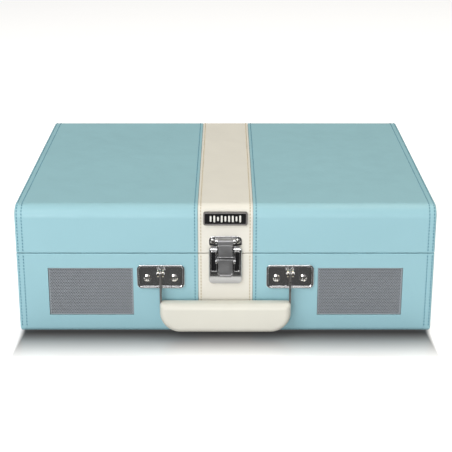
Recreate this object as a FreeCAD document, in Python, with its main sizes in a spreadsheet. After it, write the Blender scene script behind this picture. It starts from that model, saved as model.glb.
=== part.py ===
"""A suitcase record player: a leatherette-covered wooden case with a hinged lid, a belt-driven turntable inside.

Millimetres, +Z up, the front of the case faces -Y. The model is drawn about the middle of the case's depth, with
the feet standing on z = 0, and every piece is then moved by case_offset, so that the origin is under the middle
of the whole object, handle and hinges included.
"""

import FreeCAD, Part

import math
import os

import Sketcher
from FreeCAD import Vector

doc = FreeCAD.newDocument("suitcase_record_player")
sheet = doc.addObject("Spreadsheet::Sheet", "Dims")
NODES = {}  # node name: document object, in the order made


# ---------------------------------------------------------------- sizes

class Size:
    """A size as the text of a spreadsheet expression and its value in millimetres."""

    def __init__(self, text, value):
        self.text, self.value = text, float(value)

    def _join(self, sign, other, value):
        return Size(f"({self.text} {sign} {size(other).text})", value)

    def __add__(self, other):
        return self._join("+", other, self.value + size(other).value)

    def __sub__(self, other):
        return self._join("-", other, self.value - size(other).value)

    def __mul__(self, other):
        return self._join("*", other, self.value * size(other).value)

    def __truediv__(self, other):
        return self._join("/", other, self.value / size(other).value)

    def __radd__(self, other):
        return size(other) + self

    def __rsub__(self, other):
        return size(other) - self

    def __rmul__(self, other):
        return size(other) * self

    def __neg__(self):
        return Size(f"(0 - {self.text})", -self.value)


def size(number):
    """A plain number as a Size; a Size stays as it is."""
    return number if isinstance(number, Size) else Size(repr(float(number)), number)


DRIVING = {
    # case
    "case_width": 355, "case_depth": 268, "case_height": 114.4, "foot_height": 3, "seam_height": 72.5,
    "seam_gap": 0.6, "board": 8, "cover": 1, "floor_board": 5, "top_board": 5, "lining": 0.8,
    "edge_round": 10.5, "bottom_round": 4, "side_round": 2, "seam_round": 0.8, "strip_width": 46, "strip_gap": 0.3,
    "front_proud": 15, "rear_proud": 5.6, "foot_radius": 9, "foot_inset": 24,
    # speakers
    "grille_x": 115, "grille_z": 40.3, "grille_width": 72.5, "grille_height": 43.6, "grille_depth": 1.2,
    "grille_thick": 1, "driver_radius": 21, "magnet_radius": 15,
    # handle
    "plate_x": 55, "plate_z": 54.9, "plate_width": 40.5, "plate_height": 21.5, "plate_thick": 2.2,
    "bail_out": 6, "bail_z": 59.5, "bail_width": 6, "bail_thick": 1.6, "bail_eye": 3.4, "pin_radius": 1,
    "grip_width": 108.4, "grip_top": 34.6, "grip_bottom": 7.7, "grip_thick": 14, "grip_mid": 8,
    "grip_round": 17.5,
    # latch
    "latch_half": 14, "latch_low": 48.8, "latch_shoulder": 82.8, "latch_high": 91.4, "latch_sheet": 1.2,
    "latch_rim": 3.6, "latch_out": 3.8, "lever_axis": 70, "hasp_axis": 88, "tongue_half": 6.5,
    "tongue_back": 4.6, "tongue_thick": 1.6, "tongue_low": 73.8, "window_low": 60.4,
    # badge
    "badge_width": 37, "badge_height": 11.8, "badge_drop": 4.2, "badge_thick": 2,
    # hinges
    "hinge_x": 122, "hinge_width": 38, "hinge_out": 3, "knuckle_radius": 2.6, "leaf_thick": 1.2,
    "leaf_height": 23,
    # deck
    "deck_drop": 1.1, "deck_thick": 3, "deck_clear": 0.5, "spindle_x": -45, "spindle_y": -16,
    "spindle_radius": 3.55, "platter_radius": 98, "belt_ring": 70, "pulley_radius": 5, "pulley_reach": 84,
    "web_top": 81.4, "mat_thick": 1.5,
    # tonearm
    "pivot_x": 92.5, "pivot_y": 75, "arm_z": 94.2, "tube_radius": 3, "tube_length": 148,
    "rest_reach": 118, "lift_reach": 32,
    # controls
    "control_x": 140, "volume_y": -75, "source_y": -38, "speed_y": 2, "stop_y": 26, "board_top": 63.4,
    "adapter_x": 145, "adapter_y": 88, "adapter_radius": 19,
    # lid stay
    "stay_radius": 54, "stay_width": 8, "stay_thick": 1.5, "stud_radius": 1.5, "stud_angle": 22,
    # rear panel
    "panel_x": 62, "panel_z": 39, "panel_width": 60, "panel_height": 24, "rca_pitch": 15, "rca_radius": 4.15,
}


class Cells:
    """The driving dimensions, as attributes: cells.case_width is the Size bound to that cell."""


def fill_sheet():
    cells = Cells()
    for row, (alias, value) in enumerate(DRIVING.items(), 1):
        sheet.set(f"A{row}", alias)
        sheet.set(f"B{row}", str(value))
        sheet.setAlias(f"B{row}", alias)
        setattr(cells, alias, Size(f"Dims.{alias}", value))
    doc.recompute()
    return cells


c = fill_sheet()

# places that many pieces share
FRONT = -c.case_depth / 2
REAR = c.case_depth / 2
BOTTOM = c.foot_height
BOX_LOW = BOTTOM + c.cover
SEAM = c.foot_height + c.seam_height
RIM = SEAM - c.seam_gap / 2
LID_LOW = SEAM + c.seam_gap / 2
TOP = c.foot_height + c.case_height
HALF = c.case_width / 2
WALL = c.board + c.cover
DECK = RIM - c.deck_drop
DECK_LOW = DECK - c.deck_thick
CASE_OFFSET = (c.front_proud - c.rear_proud) / 2
BAIL_Y = FRONT - c.bail_out
LATCH_Y = FRONT - c.latch_out
HINGE_Y = REAR + c.hinge_out


# ---------------------------------------------------------------- tools

def bind(thing, prop, value):
    thing.setExpression(prop, size(value).text)


def origin_plane(body, name):
    return next(o for o in body.Origin.OriginFeatures if o.Role == f"{name}_Plane")


def new_body(label):
    body = doc.addObject("PartDesign::Body", label)
    body.Label = label
    return body


def draw(body, plane, loops, offset):
    """A sketch on one of the body's origin planes, moved along that plane's normal.

    A loop is a list of corner points or a circle as ("circle", x, y, radius).
    """
    sketch = body.newObject("Sketcher::SketchObject", "Sketch")
    sketch.AttachmentSupport = (origin_plane(body, plane), [""])
    sketch.MapMode = "FlatFace"
    bind(sketch, "AttachmentOffset.Base.z", offset)

    def fix(kind, geometry, point, value):
        value = size(value)
        args = (geometry, point, value.value) if point else (geometry, value.value)
        index = sketch.addConstraint(Sketcher.Constraint(kind, *args))
        bind(sketch, f"Constraints[{index}]", value)

    for loop in loops:
        if loop[0] == "circle":
            _, x, y, radius = map(lambda v: v if isinstance(v, str) else size(v), loop)
            circle = Part.Circle(Vector(x.value, y.value, 0), Vector(0, 0, 1), radius.value)
            index = sketch.addGeometry(circle, False)
            fix("DistanceX", index, 3, x)
            fix("DistanceY", index, 3, y)
            fix("Radius", index, None, radius)
            continue
        corners = [(size(x), size(y)) for x, y in loop]
        points = [Vector(x.value, y.value, 0) for x, y in corners]
        first = sketch.GeometryCount
        for start, end in zip(points, points[1:] + points[:1]):
            sketch.addGeometry(Part.LineSegment(start, end), False)
        for i, (x, y) in enumerate(corners):
            after = first + (i + 1) % len(corners)
            sketch.addConstraint(Sketcher.Constraint("Coincident", first + i, 2, after, 1))
            fix("DistanceX", first + i, 1, x)
            fix("DistanceY", first + i, 1, y)
    return sketch


def pad(body, plane, loops, start, length):
    """Adds the outline, extruded from start to start + length along the plane's world axis."""
    offset = -(size(start) + length) if plane == "XZ" else start
    sketch = draw(body, plane, loops, offset)
    feature = body.newObject("PartDesign::Pad", "Pad")
    feature.Profile = sketch
    bind(feature, "Length", length)
    doc.recompute()
    return body


def pocket(body, plane, loops, start, length):
    """Takes the outline away, from start to start + length along the plane's world axis."""
    before = body.Shape.Volume
    offset = -size(start) if plane == "XZ" else size(start) + length
    sketch = draw(body, plane, loops, offset)
    feature = body.newObject("PartDesign::Pocket", "Pocket")
    feature.Profile = sketch
    bind(feature, "Length", length)
    doc.recompute()
    if body.Shape.Volume > before - 1e-3:
        raise RuntimeError(f"a pocket in {body.Label} cuts nothing")
    return body


def turned(label, profile):
    """A body of revolution about the Z axis; the profile's points are (radius, z)."""
    body = new_body(label)
    sketch = draw(body, "XZ", [profile], 0)
    feature = body.newObject("PartDesign::Revolution", "Revolution")
    feature.Profile = sketch
    feature.ReferenceAxis = (sketch, ["V_Axis"])
    feature.Angle = 360
    doc.recompute()
    return body


def rounded(body, radius, chosen):
    """Fillets the tip's edges that chosen(edge) picks."""
    tip = body.Tip
    names = [f"Edge{i}" for i, edge in enumerate(tip.Shape.Edges, 1) if chosen(edge)]
    if not names:
        raise RuntimeError(f"no edge to round in {body.Label}")
    feature = body.newObject("PartDesign::Fillet", "Fillet")
    feature.Base = (tip, names)
    bind(feature, "Radius", radius)
    doc.recompute()
    if "Invalid" in feature.State or not body.Shape.isValid():
        raise RuntimeError(f"the rounding of {body.Label} failed")
    return body


def edges(along=None, where=None, **places):
    """A test for edges: straight along an axis, wholly at a coordinate such as z=(12.5,), where(box) true."""
    def chosen(edge):
        if along:
            if edge.Curve.TypeId != "Part::GeomLine":
                return False
            if abs(getattr(edge.Curve.Direction, along)) < 0.999:
                return False
        box = edge.BoundBox
        for axis, wanted in places.items():
            low, high = getattr(box, f"{axis.upper()}Min"), getattr(box, f"{axis.upper()}Max")
            if not any(abs(low - size(w).value) < 1e-3 > abs(high - size(w).value) for w in wanted):
                return False
        return where is None or where(box)
    return chosen


def rect(x, y, width, height):
    """The corners of a rectangle about (x, y)."""
    x, y, width, height = size(x), size(y), size(width), size(height)
    return [(x - width / 2, y - height / 2), (x + width / 2, y - height / 2),
            (x + width / 2, y + height / 2), (x - width / 2, y + height / 2)]


def span(x_low, x_high, y_low, y_high):
    """The corners of a rectangle between its limits."""
    return [(x_low, y_low), (x_high, y_low), (x_high, y_high), (x_low, y_high)]


def circle(x, y, radius):
    return ("circle", x, y, radius)


def circles(spots, radius):
    return [circle(x, y, radius) for x, y in spots]


def place(thing, x=0, y=0, z=0):
    for axis, value in zip("xyz", (x, y, z)):
        bind(thing, f"Placement.Base.{axis}", value)
    return thing


def boolean(kind, label, base, tool):
    """kind is Cut or Common."""
    thing = doc.addObject(f"Part::{kind}", label)
    thing.Label = label
    thing.Base, thing.Tool = base, tool
    doc.recompute()
    return thing


def fused(label, things):
    thing = doc.addObject("Part::MultiFuse", label)
    thing.Label = label
    thing.Shapes = things
    doc.recompute()
    return thing


def group(label, things):
    """Separate solids that share one node."""
    thing = doc.addObject("Part::Compound", label)
    thing.Label = label
    thing.Links = things
    doc.recompute()
    return thing


def node(thing, x=0, y=0, z=0):
    """Names a finished piece as a node, and moves it from the drawing's middle to the object's."""
    NODES[thing.Label] = place(thing, x, size(y) + CASE_OFFSET, z)
    return thing


def cross_screw(label, head_radius, head_height, shank_radius, shank_length):
    """A dome-head screw with a cross recess, its head upwards, seated on z = 0."""
    head_radius, head_height = size(head_radius), size(head_height)
    body = turned(label, [
        (0, -size(shank_length)), (shank_radius, -size(shank_length)), (shank_radius, 0), (head_radius, 0),
        (head_radius * 0.93, head_height * 0.45), (head_radius * 0.65, head_height * 0.85), (0, head_height),
    ])
    slot = head_radius * 1.05
    for width, height in ((slot, slot * 0.22), (slot * 0.22, slot)):
        pocket(body, "XY", [rect(0, 0, width, height)], head_height * 0.5, head_height)
    return body


TURN_TO = {
    "front": FreeCAD.Rotation(Vector(1, 0, 0), 90),
    "rear": FreeCAD.Rotation(Vector(1, 0, 0), -90),
    "right": FreeCAD.Rotation(Vector(0, 1, 0), 90),
    "below": FreeCAD.Rotation(Vector(1, 0, 0), 180),
    "above": FreeCAD.Rotation(),
}


def screws(label, spots, facing, head_radius, head_height, shank_radius, shank_length):
    """Identical screws, each with its head facing the given way."""
    made = []
    for number, (x, y, z) in enumerate(spots, 1):
        screw = cross_screw(f"{label}_{number}", head_radius, head_height, shank_radius, shank_length)
        screw.Placement = FreeCAD.Placement(Vector(), TURN_TO[facing])
        made.append(place(screw, x, y, z))
    return made


# ---------------------------------------------------------------- where the screws go

def plate_screw_spots():
    """X and Z of the handle plates' screws."""
    return [(side * c.plate_x + step, c.plate_z - 1.5) for side in (-1, 1) for step in (-11.4, 11.4)]


def hinge_screw_spots(up):
    """X and Z of the hinge leaves' screws: up is 1 for the lid's leaves, -1 for the base's."""
    z = SEAM + up * (c.knuckle_radius + 0.3 + c.leaf_height / 2)
    return [(side * c.hinge_x + step, z) for side in (-1, 1) for step in (-11, 11)]


def keeper_screw_spots():
    """X and Z of the small screws in the latch's upper plate."""
    return [(side * 10.7, c.latch_high - 4.4) for side in (-1, 1)]


def stay_rivet_spots():
    """Y and Z of the rivets that hold the stay to the lid."""
    return [(HINGE_Y - distance, SEAM + 27.4) for distance in (64, 42)]


def foot_spots():
    x, y = HALF - c.foot_inset, REAR - c.foot_inset
    return [(side * x, end * y) for side in (-1, 1) for end in (-1, 1)]


# ---------------------------------------------------------------- case

def case_block(label, low, high, inset, top_round, foot_round):
    """A block as wide and deep as the case, less the inset, with the edges along its front and rear rounded."""
    body = new_body(label)
    half, front, rear = HALF - inset, FRONT + inset, REAR - inset
    pad(body, "XY", [span(-half, half, front, rear)], low, high - low)
    if top_round:
        rounded(body, top_round, edges("x", z=(high,)))
    if foot_round:
        rounded(body, foot_round, edges("x", z=(low,)))
    return body


def soften_sides(body, low, high, kept):
    """Rounds the outline of both side faces, but for the edges at the kept height."""
    def on_side(edge):
        box = edge.BoundBox
        at_side = abs(box.XMax - box.XMin) < 1e-3 and abs(abs(box.XMin) - HALF.value) < 1e-3
        at_kept = abs(box.ZMax - box.ZMin) < 1e-3 and abs(box.ZMin - kept.value) < 1e-3
        return at_side and not at_kept
    return rounded(body, c.side_round, on_side)


def grille_window(x, grow):
    return rect(x, c.grille_z, c.grille_width + grow, c.grille_height + grow)


def panel_window():
    return rect(c.panel_x, c.panel_z, c.panel_width, c.panel_height)


def make_base_box():
    low, high = BOX_LOW, RIM - c.cover
    core = case_block("base_core", low, high, c.cover, None, c.bottom_round - c.cover)
    body = case_block("base_box", low, high, c.cover, None, c.bottom_round - c.cover)
    inner = [span(WALL - HALF, HALF - WALL, FRONT + WALL, REAR - WALL)]
    pocket(body, "XY", inner, low + c.floor_board, high - low)
    for side in (-1, 1):
        window = grille_window(side * c.grille_x, 0)
        rebate = c.grille_depth + c.grille_thick - c.cover
        pocket(body, "XZ", [window], FRONT + c.cover, rebate)
        pocket(body, "XZ", [grille_window(side * c.grille_x, -8)], FRONT, WALL + c.cover)
    pocket(body, "XZ", [panel_window()], REAR - WALL - c.cover, WALL + c.cover)
    pocket(body, "XZ", circles(plate_screw_spots(), 1.5), FRONT, 5)
    pocket(body, "XZ", circles(hinge_screw_spots(-1), 1.5), REAR - 4.8, 4.8)
    pocket(body, "XY", circles(foot_spots(), 1.6), BOTTOM, 4.6)
    node(body)
    return core


def make_base_wrap(core):
    """The leatherette round the base, turned in over the rim, in blue with a cream band down the middle."""
    outer = case_block("base_wrap_outer", BOTTOM, RIM, 0, None, c.bottom_round)
    soften_sides(outer, BOTTOM, RIM, RIM)
    rounded(outer, c.seam_round, edges(z=(RIM,)))
    for side in (-1, 1):
        pocket(outer, "XZ", [grille_window(side * c.grille_x, 0)], FRONT - 1, WALL)
    pocket(outer, "XZ", [panel_window()], REAR - c.board, WALL)
    pocket(outer, "XZ", circles(plate_screw_spots(), 1.5), FRONT - 1, 5)
    pocket(outer, "XZ", circles(hinge_screw_spots(-1), 1.5), REAR - 4, 5)
    inner = [span(WALL - HALF, HALF - WALL, FRONT + WALL, REAR - WALL)]
    pocket(outer, "XY", inner, BOTTOM - 1, RIM + 2)
    skin = boolean("Cut", "base_skin", outer, core)
    split_skin(skin, "base", BOTTOM, RIM)


def split_skin(skin, name, low, high):
    """Divides a skin into the cream band and the blue panels on each side of it."""
    band = new_body(f"{name}_band")
    half = c.strip_width / 2
    pad(band, "XY", [span(-half, half, FRONT - 5, REAR + 5)], low - 5, high - low + 10)
    cream = boolean("Common", f"{name}_wrap_cream", skin, band)
    node(cream)
    wide = new_body(f"{name}_band_wide")
    half = half + c.strip_gap
    pad(wide, "XY", [span(-half, half, FRONT - 5, REAR + 5)], low - 5, high - low + 10)
    blue = boolean("Cut", f"{name}_wrap_blue", skin, wide)
    node(blue)


def make_lid():
    low, high = LID_LOW + c.cover, TOP - c.cover
    inner_round = c.edge_round - c.cover
    core = case_block("lid_core", low, high, c.cover, inner_round, None)
    box = case_block("lid_box", low, high, c.cover, inner_round, None)
    hollow = [span(WALL - HALF, HALF - WALL, FRONT + WALL, REAR - WALL)]
    pocket(box, "XY", hollow, low - 1, high - low - c.top_board + 1)
    drill_lid(box, FRONT + 3.8, REAR - 4.8)
    pocket(box, "YZ", circles(stay_rivet_spots(), 1), stay_x() - 3.5, 4)
    node(box)

    outer = case_block("lid_wrap_outer", LID_LOW, TOP, 0, c.edge_round, None)
    soften_sides(outer, LID_LOW, TOP, LID_LOW)
    rounded(outer, c.seam_round, edges(z=(LID_LOW,)))
    pocket(outer, "XY", hollow, LID_LOW - 1, c.cover + 2)
    drill_lid(outer, FRONT + 3, REAR - 3)
    split_skin(boolean("Cut", "lid_skin", outer, core), "lid", LID_LOW, TOP)

    lining = new_body("lid_lining")
    pad(lining, "XY", hollow, low, high - low - c.top_board)
    inset = WALL + c.lining
    room = [span(inset - HALF, HALF - inset, FRONT + inset, REAR - inset)]
    pocket(lining, "XY", room, low - 1, high - low - c.top_board - c.lining + 1)
    pocket(lining, "YZ", circles(stay_rivet_spots(), 1), stay_x() - 3.5, 4)
    node(lining)


def drill_lid(body, front_end, rear_end):
    """The screw holes of the latch's upper plate and of the hinges, as deep as the given ends."""
    pocket(body, "XZ", circles(keeper_screw_spots(), 1), FRONT - 1, front_end - FRONT + 1)
    pocket(body, "XZ", circles(hinge_screw_spots(1), 1.5), rear_end, REAR - rear_end + 1)


def make_feet():
    feet = []
    for number, (fx, fy) in enumerate(foot_spots(), 1):
        radius = c.foot_radius
        foot = turned(f"foot_{number}", [
            (2, BOX_LOW), (2, 1.6), (4.2, 1.6), (4.2, 0), (radius - 0.8, 0), (radius, 0.8),
            (radius + 0.6, BOX_LOW),
        ])
        feet.append(place(foot, fx, fy, 0))
    node(group("rubber_feet", feet))
    return screws("foot_screw", [(fx, fy, 1.6) for fx, fy in foot_spots()], "below", 3.6, 1.4, 1.6, 6)


# ---------------------------------------------------------------- speakers

def make_speakers():
    grilles, frames, cones = [], [], []
    for name, side in (("left", -1), ("right", 1)):
        x = side * c.grille_x
        grille = new_body(f"speaker_grille_{name}")
        outline = [rect(x, c.grille_z, c.grille_width - 0.4, c.grille_height - 0.4)]
        pad(grille, "XZ", outline, FRONT + c.grille_depth, c.grille_thick)
        rounded(grille, 1.2, edges("y"))
        grilles.append(grille)

        frame = new_body(f"driver_frame_{name}")
        wall = FRONT + WALL
        plate = [rect(x, c.grille_z, c.driver_radius * 2.2, c.driver_radius * 2.1)]
        pad(frame, "XZ", plate, wall, 2)
        rounded(frame, 5, edges("y"))
        pad(frame, "XZ", [circle(x, c.grille_z, c.driver_radius - 1)], wall + 2, 14)
        pad(frame, "XZ", [circle(x, c.grille_z, c.magnet_radius)], wall + 16, 10)
        pocket(frame, "XZ", [circle(x, c.grille_z, c.driver_radius - 2)], wall - 1, 15.5)
        frames.append(frame)

        r = c.driver_radius - 2.4
        cone = turned(f"driver_cone_{name}", [
            (0, 3.2), (7, 4.6), (r - 1.5, 13.4), (r, 13.4), (r, 14), (r - 1.8, 14), (7, 5.4), (3.5, 8), (0, 8.6),
        ])
        cone.Placement = FreeCAD.Placement(Vector(), TURN_TO["front"])
        cones.append(place(cone, x, wall + 14, c.grille_z))
    node(group("speaker_grilles", grilles))
    node(group("speaker_frames", frames))
    node(group("speaker_cones", cones))


# ---------------------------------------------------------------- handle

def strap_bar(label):
    """The handle's flat steel strap: a U that runs through the grip and up to the eyes."""
    outer, inner = c.plate_x + c.bail_thick / 2, c.plate_x - c.bail_thick / 2
    low, up = c.grip_bottom + 4, c.bail_z + c.bail_eye
    front, deep = BAIL_Y - c.bail_width / 2, c.bail_width
    block = new_body(f"{label}_outer")
    pad(block, "XZ", [span(-outer, outer, low, up)], front, deep)
    rounded(block, c.grip_round - 2, edges("y", z=(low,)))
    rounded(block, 2.6, edges("x", z=(up,)))
    middle = new_body(f"{label}_inner")
    pad(middle, "XZ", [span(-inner, inner, low + c.bail_thick, up + 1)], front - 1, deep + 2)
    rounded(middle, c.grip_round - 3.6, edges("y", z=(low + c.bail_thick,)))
    return boolean("Cut", label, block, middle)


def make_handle():
    pins = []
    for name, side in (("left", -1), ("right", 1)):
        x = side * c.plate_x
        plate = new_body(f"handle_plate_{name}")
        pad(plate, "XZ", [rect(x, c.plate_z, c.plate_width, c.plate_height)], FRONT - c.plate_thick,
            c.plate_thick)
        rounded(plate, 4, edges("y"))
        pocket(plate, "XZ", [rect(x, c.plate_z, c.plate_width - 3.4, c.plate_height - 3.4)],
               FRONT - c.plate_thick - 1, 2.2)
        reach = c.plate_height.value / 2 - 1
        rounded(plate, 2.3, edges("y", lambda box: abs(box.ZMin - c.plate_z.value) > reach - 1))
        rounded(plate, 0.5, edges(y=(FRONT - c.plate_thick,)))
        for ear in (-1, 1):
            outline = span(FRONT - c.bail_out - 2.2, FRONT - 0.5, c.bail_z - 3, c.bail_z + 3)
            pad(plate, "YZ", [outline], x + ear * 2.1 - 0.65, 1.3)
        ear_tips = edges("x", y=(FRONT - c.bail_out - 2.2,))
        rounded(plate, 1.8, ear_tips)
        pocket(plate, "YZ", [circle(BAIL_Y, c.bail_z, c.pin_radius)], x - 10, 20)
        pocket(plate, "XZ", [spot for spot in circles(plate_screw_spots(), 1.5)
                             if abs((spot[1] - x).value) < 20], FRONT - 4, 5)
        node(plate)

        pin = new_body(f"handle_pin_{name}")
        pad(pin, "YZ", [circle(BAIL_Y, c.bail_z, c.pin_radius)], x - 3.5, 7)
        pins.append(pin)
    bore_hole = new_body("strap_bore")
    pad(bore_hole, "YZ", [circle(BAIL_Y, c.bail_z, c.pin_radius + 0.1)], -HALF, c.case_width)
    node(boolean("Cut", "handle_strap", strap_bar("strap_bar"), bore_hole))

    grip = new_body("grip_solid")
    middle = FRONT - c.grip_mid
    half = c.grip_width / 2 + c.bail_thick
    pad(grip, "XZ", [span(-half, half, c.grip_bottom, c.grip_top)], middle - c.grip_thick / 2, c.grip_thick)
    centre = (c.grip_top.value + c.grip_bottom.value) / 2
    rounded(grip, c.grip_round, edges("y", lambda box: box.ZMin < centre))
    rounded(grip, 3, edges("y", lambda box: box.ZMax > c.grip_top.value - 1))
    rounded(grip, 5.4, edges(y=(middle - c.grip_thick / 2, middle + c.grip_thick / 2)))
    node(boolean("Cut", "handle_grip", grip, strap_bar("strap_channel")))
    return pins


# ---------------------------------------------------------------- latch and badge

def make_latch():
    half, sheet_y = c.latch_half, FRONT - c.latch_sheet
    rim_y = FRONT - c.latch_rim

    catch = new_body("catch_plate")
    pad(catch, "XZ", [span(-half, half, c.latch_low, c.latch_shoulder)], rim_y, c.latch_rim - c.latch_sheet)
    rounded(catch, 4, edges("y"))
    rounded(catch, 1.4, edges(y=(rim_y,)))
    window = span(2 - half, half - 2, c.window_low, c.latch_shoulder - 4)
    pocket(catch, "XZ", [window], rim_y - 1, 6)
    pocket(catch, "XZ", [span(-7.1, 7.1, c.latch_shoulder - 5, c.latch_shoulder + 1)], rim_y - 1, 6)
    rounded(catch, 1.8, edges("y", x=(2 - half, half - 2)))
    pad(catch, "XZ", [span(1 - half, half - 1, c.latch_low + 1, SEAM - 0.8)], sheet_y, c.latch_sheet)
    for ear in (-1, 1):
        outline = span(LATCH_Y - 1.8, sheet_y, c.lever_axis - 2, c.lever_axis + 1.8)
        pad(catch, "YZ", [outline], size(ear * 7.6 - 0.7), 1.4)
    rounded(catch, 1.4, edges("x", y=(LATCH_Y - 1.8,)))
    pocket(catch, "YZ", [circle(LATCH_Y, c.lever_axis, c.pin_radius)], -10, 20)

    pan_start, shoulder_start = c.window_low - 0.6, c.latch_shoulder - 3.6
    press = new_body("catch_press")
    pad(press, "YZ", [span(rim_y - 1, rim_y + 2.3, c.latch_low - 1, pan_start)], -half - 1, 2 * half + 2)
    pocket(press, "YZ", [circle(rim_y + 40, pan_start, 40)], -half - 2, 2 * half + 4)
    roll = new_body("shoulder_press")
    top = c.latch_shoulder + 1
    pad(roll, "YZ", [span(rim_y - 1, rim_y + 2.3, shoulder_start, top)], -half - 1, 2 * half + 2)
    pocket(roll, "YZ", [circle(rim_y + 5, shoulder_start, 5)], -half - 2, 2 * half + 4)
    pressed = boolean("Cut", "catch_with_pan", catch, press)
    node(boolean("Cut", "latch_base_plate", pressed, roll))

    backing = new_body("latch_backing")
    outline = span(2.2 - half, half - 2.2, c.window_low + 0.2, c.latch_shoulder - 4.2)
    pad(backing, "XZ", [outline], FRONT - 2, 0.8)
    window = span(-8.6, 8.6, c.window_low + 5, c.latch_shoulder + 1)
    pocket(backing, "XZ", [window], FRONT - 3, 3)
    rounded(backing, 1.8, edges("y", x=(2.2 - half, half - 2.2)))
    node(backing)

    keeper = new_body("latch_top_plate")
    low = c.latch_shoulder + 0.8
    pad(keeper, "XZ", [span(-half, half, low, c.latch_high)], sheet_y, c.latch_sheet)
    rounded(keeper, 4, edges("y", z=(c.latch_high,)))
    rounded(keeper, 0.5, edges(y=(sheet_y,)))
    for ear in (-1, 1):
        outline = span(LATCH_Y - 1.9, sheet_y + 0.2, c.hasp_axis - 2.2, c.hasp_axis + 2.2)
        pad(keeper, "YZ", [outline], size(ear * 7.6 - 0.7), 1.4)
    rounded(keeper, 1.5, edges("x", y=(LATCH_Y - 1.9,)))
    pad(keeper, "YZ", [circle(LATCH_Y, c.hasp_axis, c.pin_radius)], -8.6, 17.2)
    pocket(keeper, "XZ", circles(keeper_screw_spots(), 1), FRONT - 4, 5)
    node(keeper)

    front, back = FRONT - c.tongue_back - c.tongue_thick, FRONT - c.tongue_back
    hasp = new_body("latch_hasp")
    tongue = c.tongue_half
    pad(hasp, "XZ", [span(-tongue, tongue, c.tongue_low, c.hasp_axis)], front, c.tongue_thick)
    rounded(hasp, 1.2, edges("y", z=(c.tongue_low,)))
    rounded(hasp, 0.5, edges(None, lambda box: box.ZMin < c.hasp_axis.value - 0.1, y=(front,)))
    pad(hasp, "YZ", [circle(LATCH_Y, c.hasp_axis, 2.4)], -tongue, 2 * tongue)
    pocket(hasp, "YZ", [circle(LATCH_Y, c.hasp_axis, c.pin_radius + 0.05)], -10, 20)
    node(hasp)

    lever = new_body("latch_lever")
    top = c.lever_axis + 2.4
    pad(lever, "XZ", [span(-tongue, tongue, top - 14.5, top)], front, c.tongue_thick)
    rounded(lever, 2.4, edges("y", z=(top - 14.5,)))
    rounded(lever, 0.6, edges(y=(front,)))
    pad(lever, "YZ", [circle(front, top - 14.7, 1.3)], 1.6 - tongue, 2 * tongue - 3.2)
    pad(lever, "YZ", [circle(LATCH_Y, c.lever_axis, 1.7)], -tongue, 2 * tongue)
    pocket(lever, "YZ", [circle(LATCH_Y, c.lever_axis, c.pin_radius + 0.05)], -10, 20)
    node(lever)

    pin = new_body("lever_pin")
    return pad(pin, "YZ", [circle(LATCH_Y, c.lever_axis, c.pin_radius)], -8.6, 17.2)


def make_badge():
    high = TOP - c.badge_drop
    outline = span(-c.badge_width / 2, c.badge_width / 2, high - c.badge_height, high)
    badge = new_body("badge")
    pad(badge, "XZ", [outline], FRONT - c.badge_thick, c.badge_thick)
    rounded(badge, 1.6, edges("y"))
    inner = span(0.9 - c.badge_width / 2, c.badge_width / 2 - 0.9, high - c.badge_height + 0.9, high - 0.9)
    pocket(badge, "XZ", [inner], FRONT - c.badge_thick - 1, 1.5)
    node(badge)


# ---------------------------------------------------------------- hinges

def make_hinges():
    segment = (c.hinge_width - 0.8) / 3
    base_leaves, lid_leaves, pins = [], [], []
    for side in (-1, 1):
        x = side * c.hinge_x
        left = x - c.hinge_width / 2
        middle = left + segment + 0.4
        right = middle + segment + 0.4
        name = "left" if side < 0 else "right"
        low, high = SEAM - c.knuckle_radius - 0.3, SEAM + c.knuckle_radius + 0.3

        base_leaf = new_body(f"hinge_base_leaf_{name}")
        pad(base_leaf, "XZ", [span(left, left + c.hinge_width, low - c.leaf_height, low)], REAR, c.leaf_thick)
        rounded(base_leaf, 4, edges("y", z=(low - c.leaf_height,)))
        for start in (left, right):
            pad(base_leaf, "YZ", [span(REAR, REAR + c.leaf_thick, low - 1, SEAM)], start, segment)
            pad(base_leaf, "YZ", [circle(HINGE_Y, SEAM, c.knuckle_radius)], start, segment)
        finish_leaf(base_leaf, left, -1, 0)
        base_leaves.append(base_leaf)

        lid_leaf = new_body(f"hinge_lid_leaf_{name}")
        pad(lid_leaf, "XZ", [span(left, left + c.hinge_width, high, high + c.leaf_height)], REAR, c.leaf_thick)
        rounded(lid_leaf, 4, edges("y", z=(high + c.leaf_height,)))
        pad(lid_leaf, "YZ", [span(REAR, REAR + c.leaf_thick, SEAM, high + 1)], middle, segment)
        pad(lid_leaf, "YZ", [circle(HINGE_Y, SEAM, c.knuckle_radius)], middle, segment)
        finish_leaf(lid_leaf, left, 1, 0.05)
        lid_leaves.append(lid_leaf)

        pin = new_body(f"hinge_pin_{name}")
        pad(pin, "YZ", [circle(HINGE_Y, SEAM, 1.2)], left, c.hinge_width)
        pins.append(pin)
    node(group("hinge_base_leaves", base_leaves))
    node(group("hinge_lid_leaves", lid_leaves))
    return pins


def finish_leaf(leaf, left, up, clearance):
    """Bores a hinge leaf for its pin and its two screws."""
    pocket(leaf, "YZ", [circle(HINGE_Y, SEAM, 1.2 + clearance)], left - 1, c.hinge_width + 2)
    near = [(x, z) for x, z in hinge_screw_spots(up) if 0 < (x - left).value < c.hinge_width.value]
    pocket(leaf, "XZ", circles(near, 1.5), REAR - 1, 3)


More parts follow.
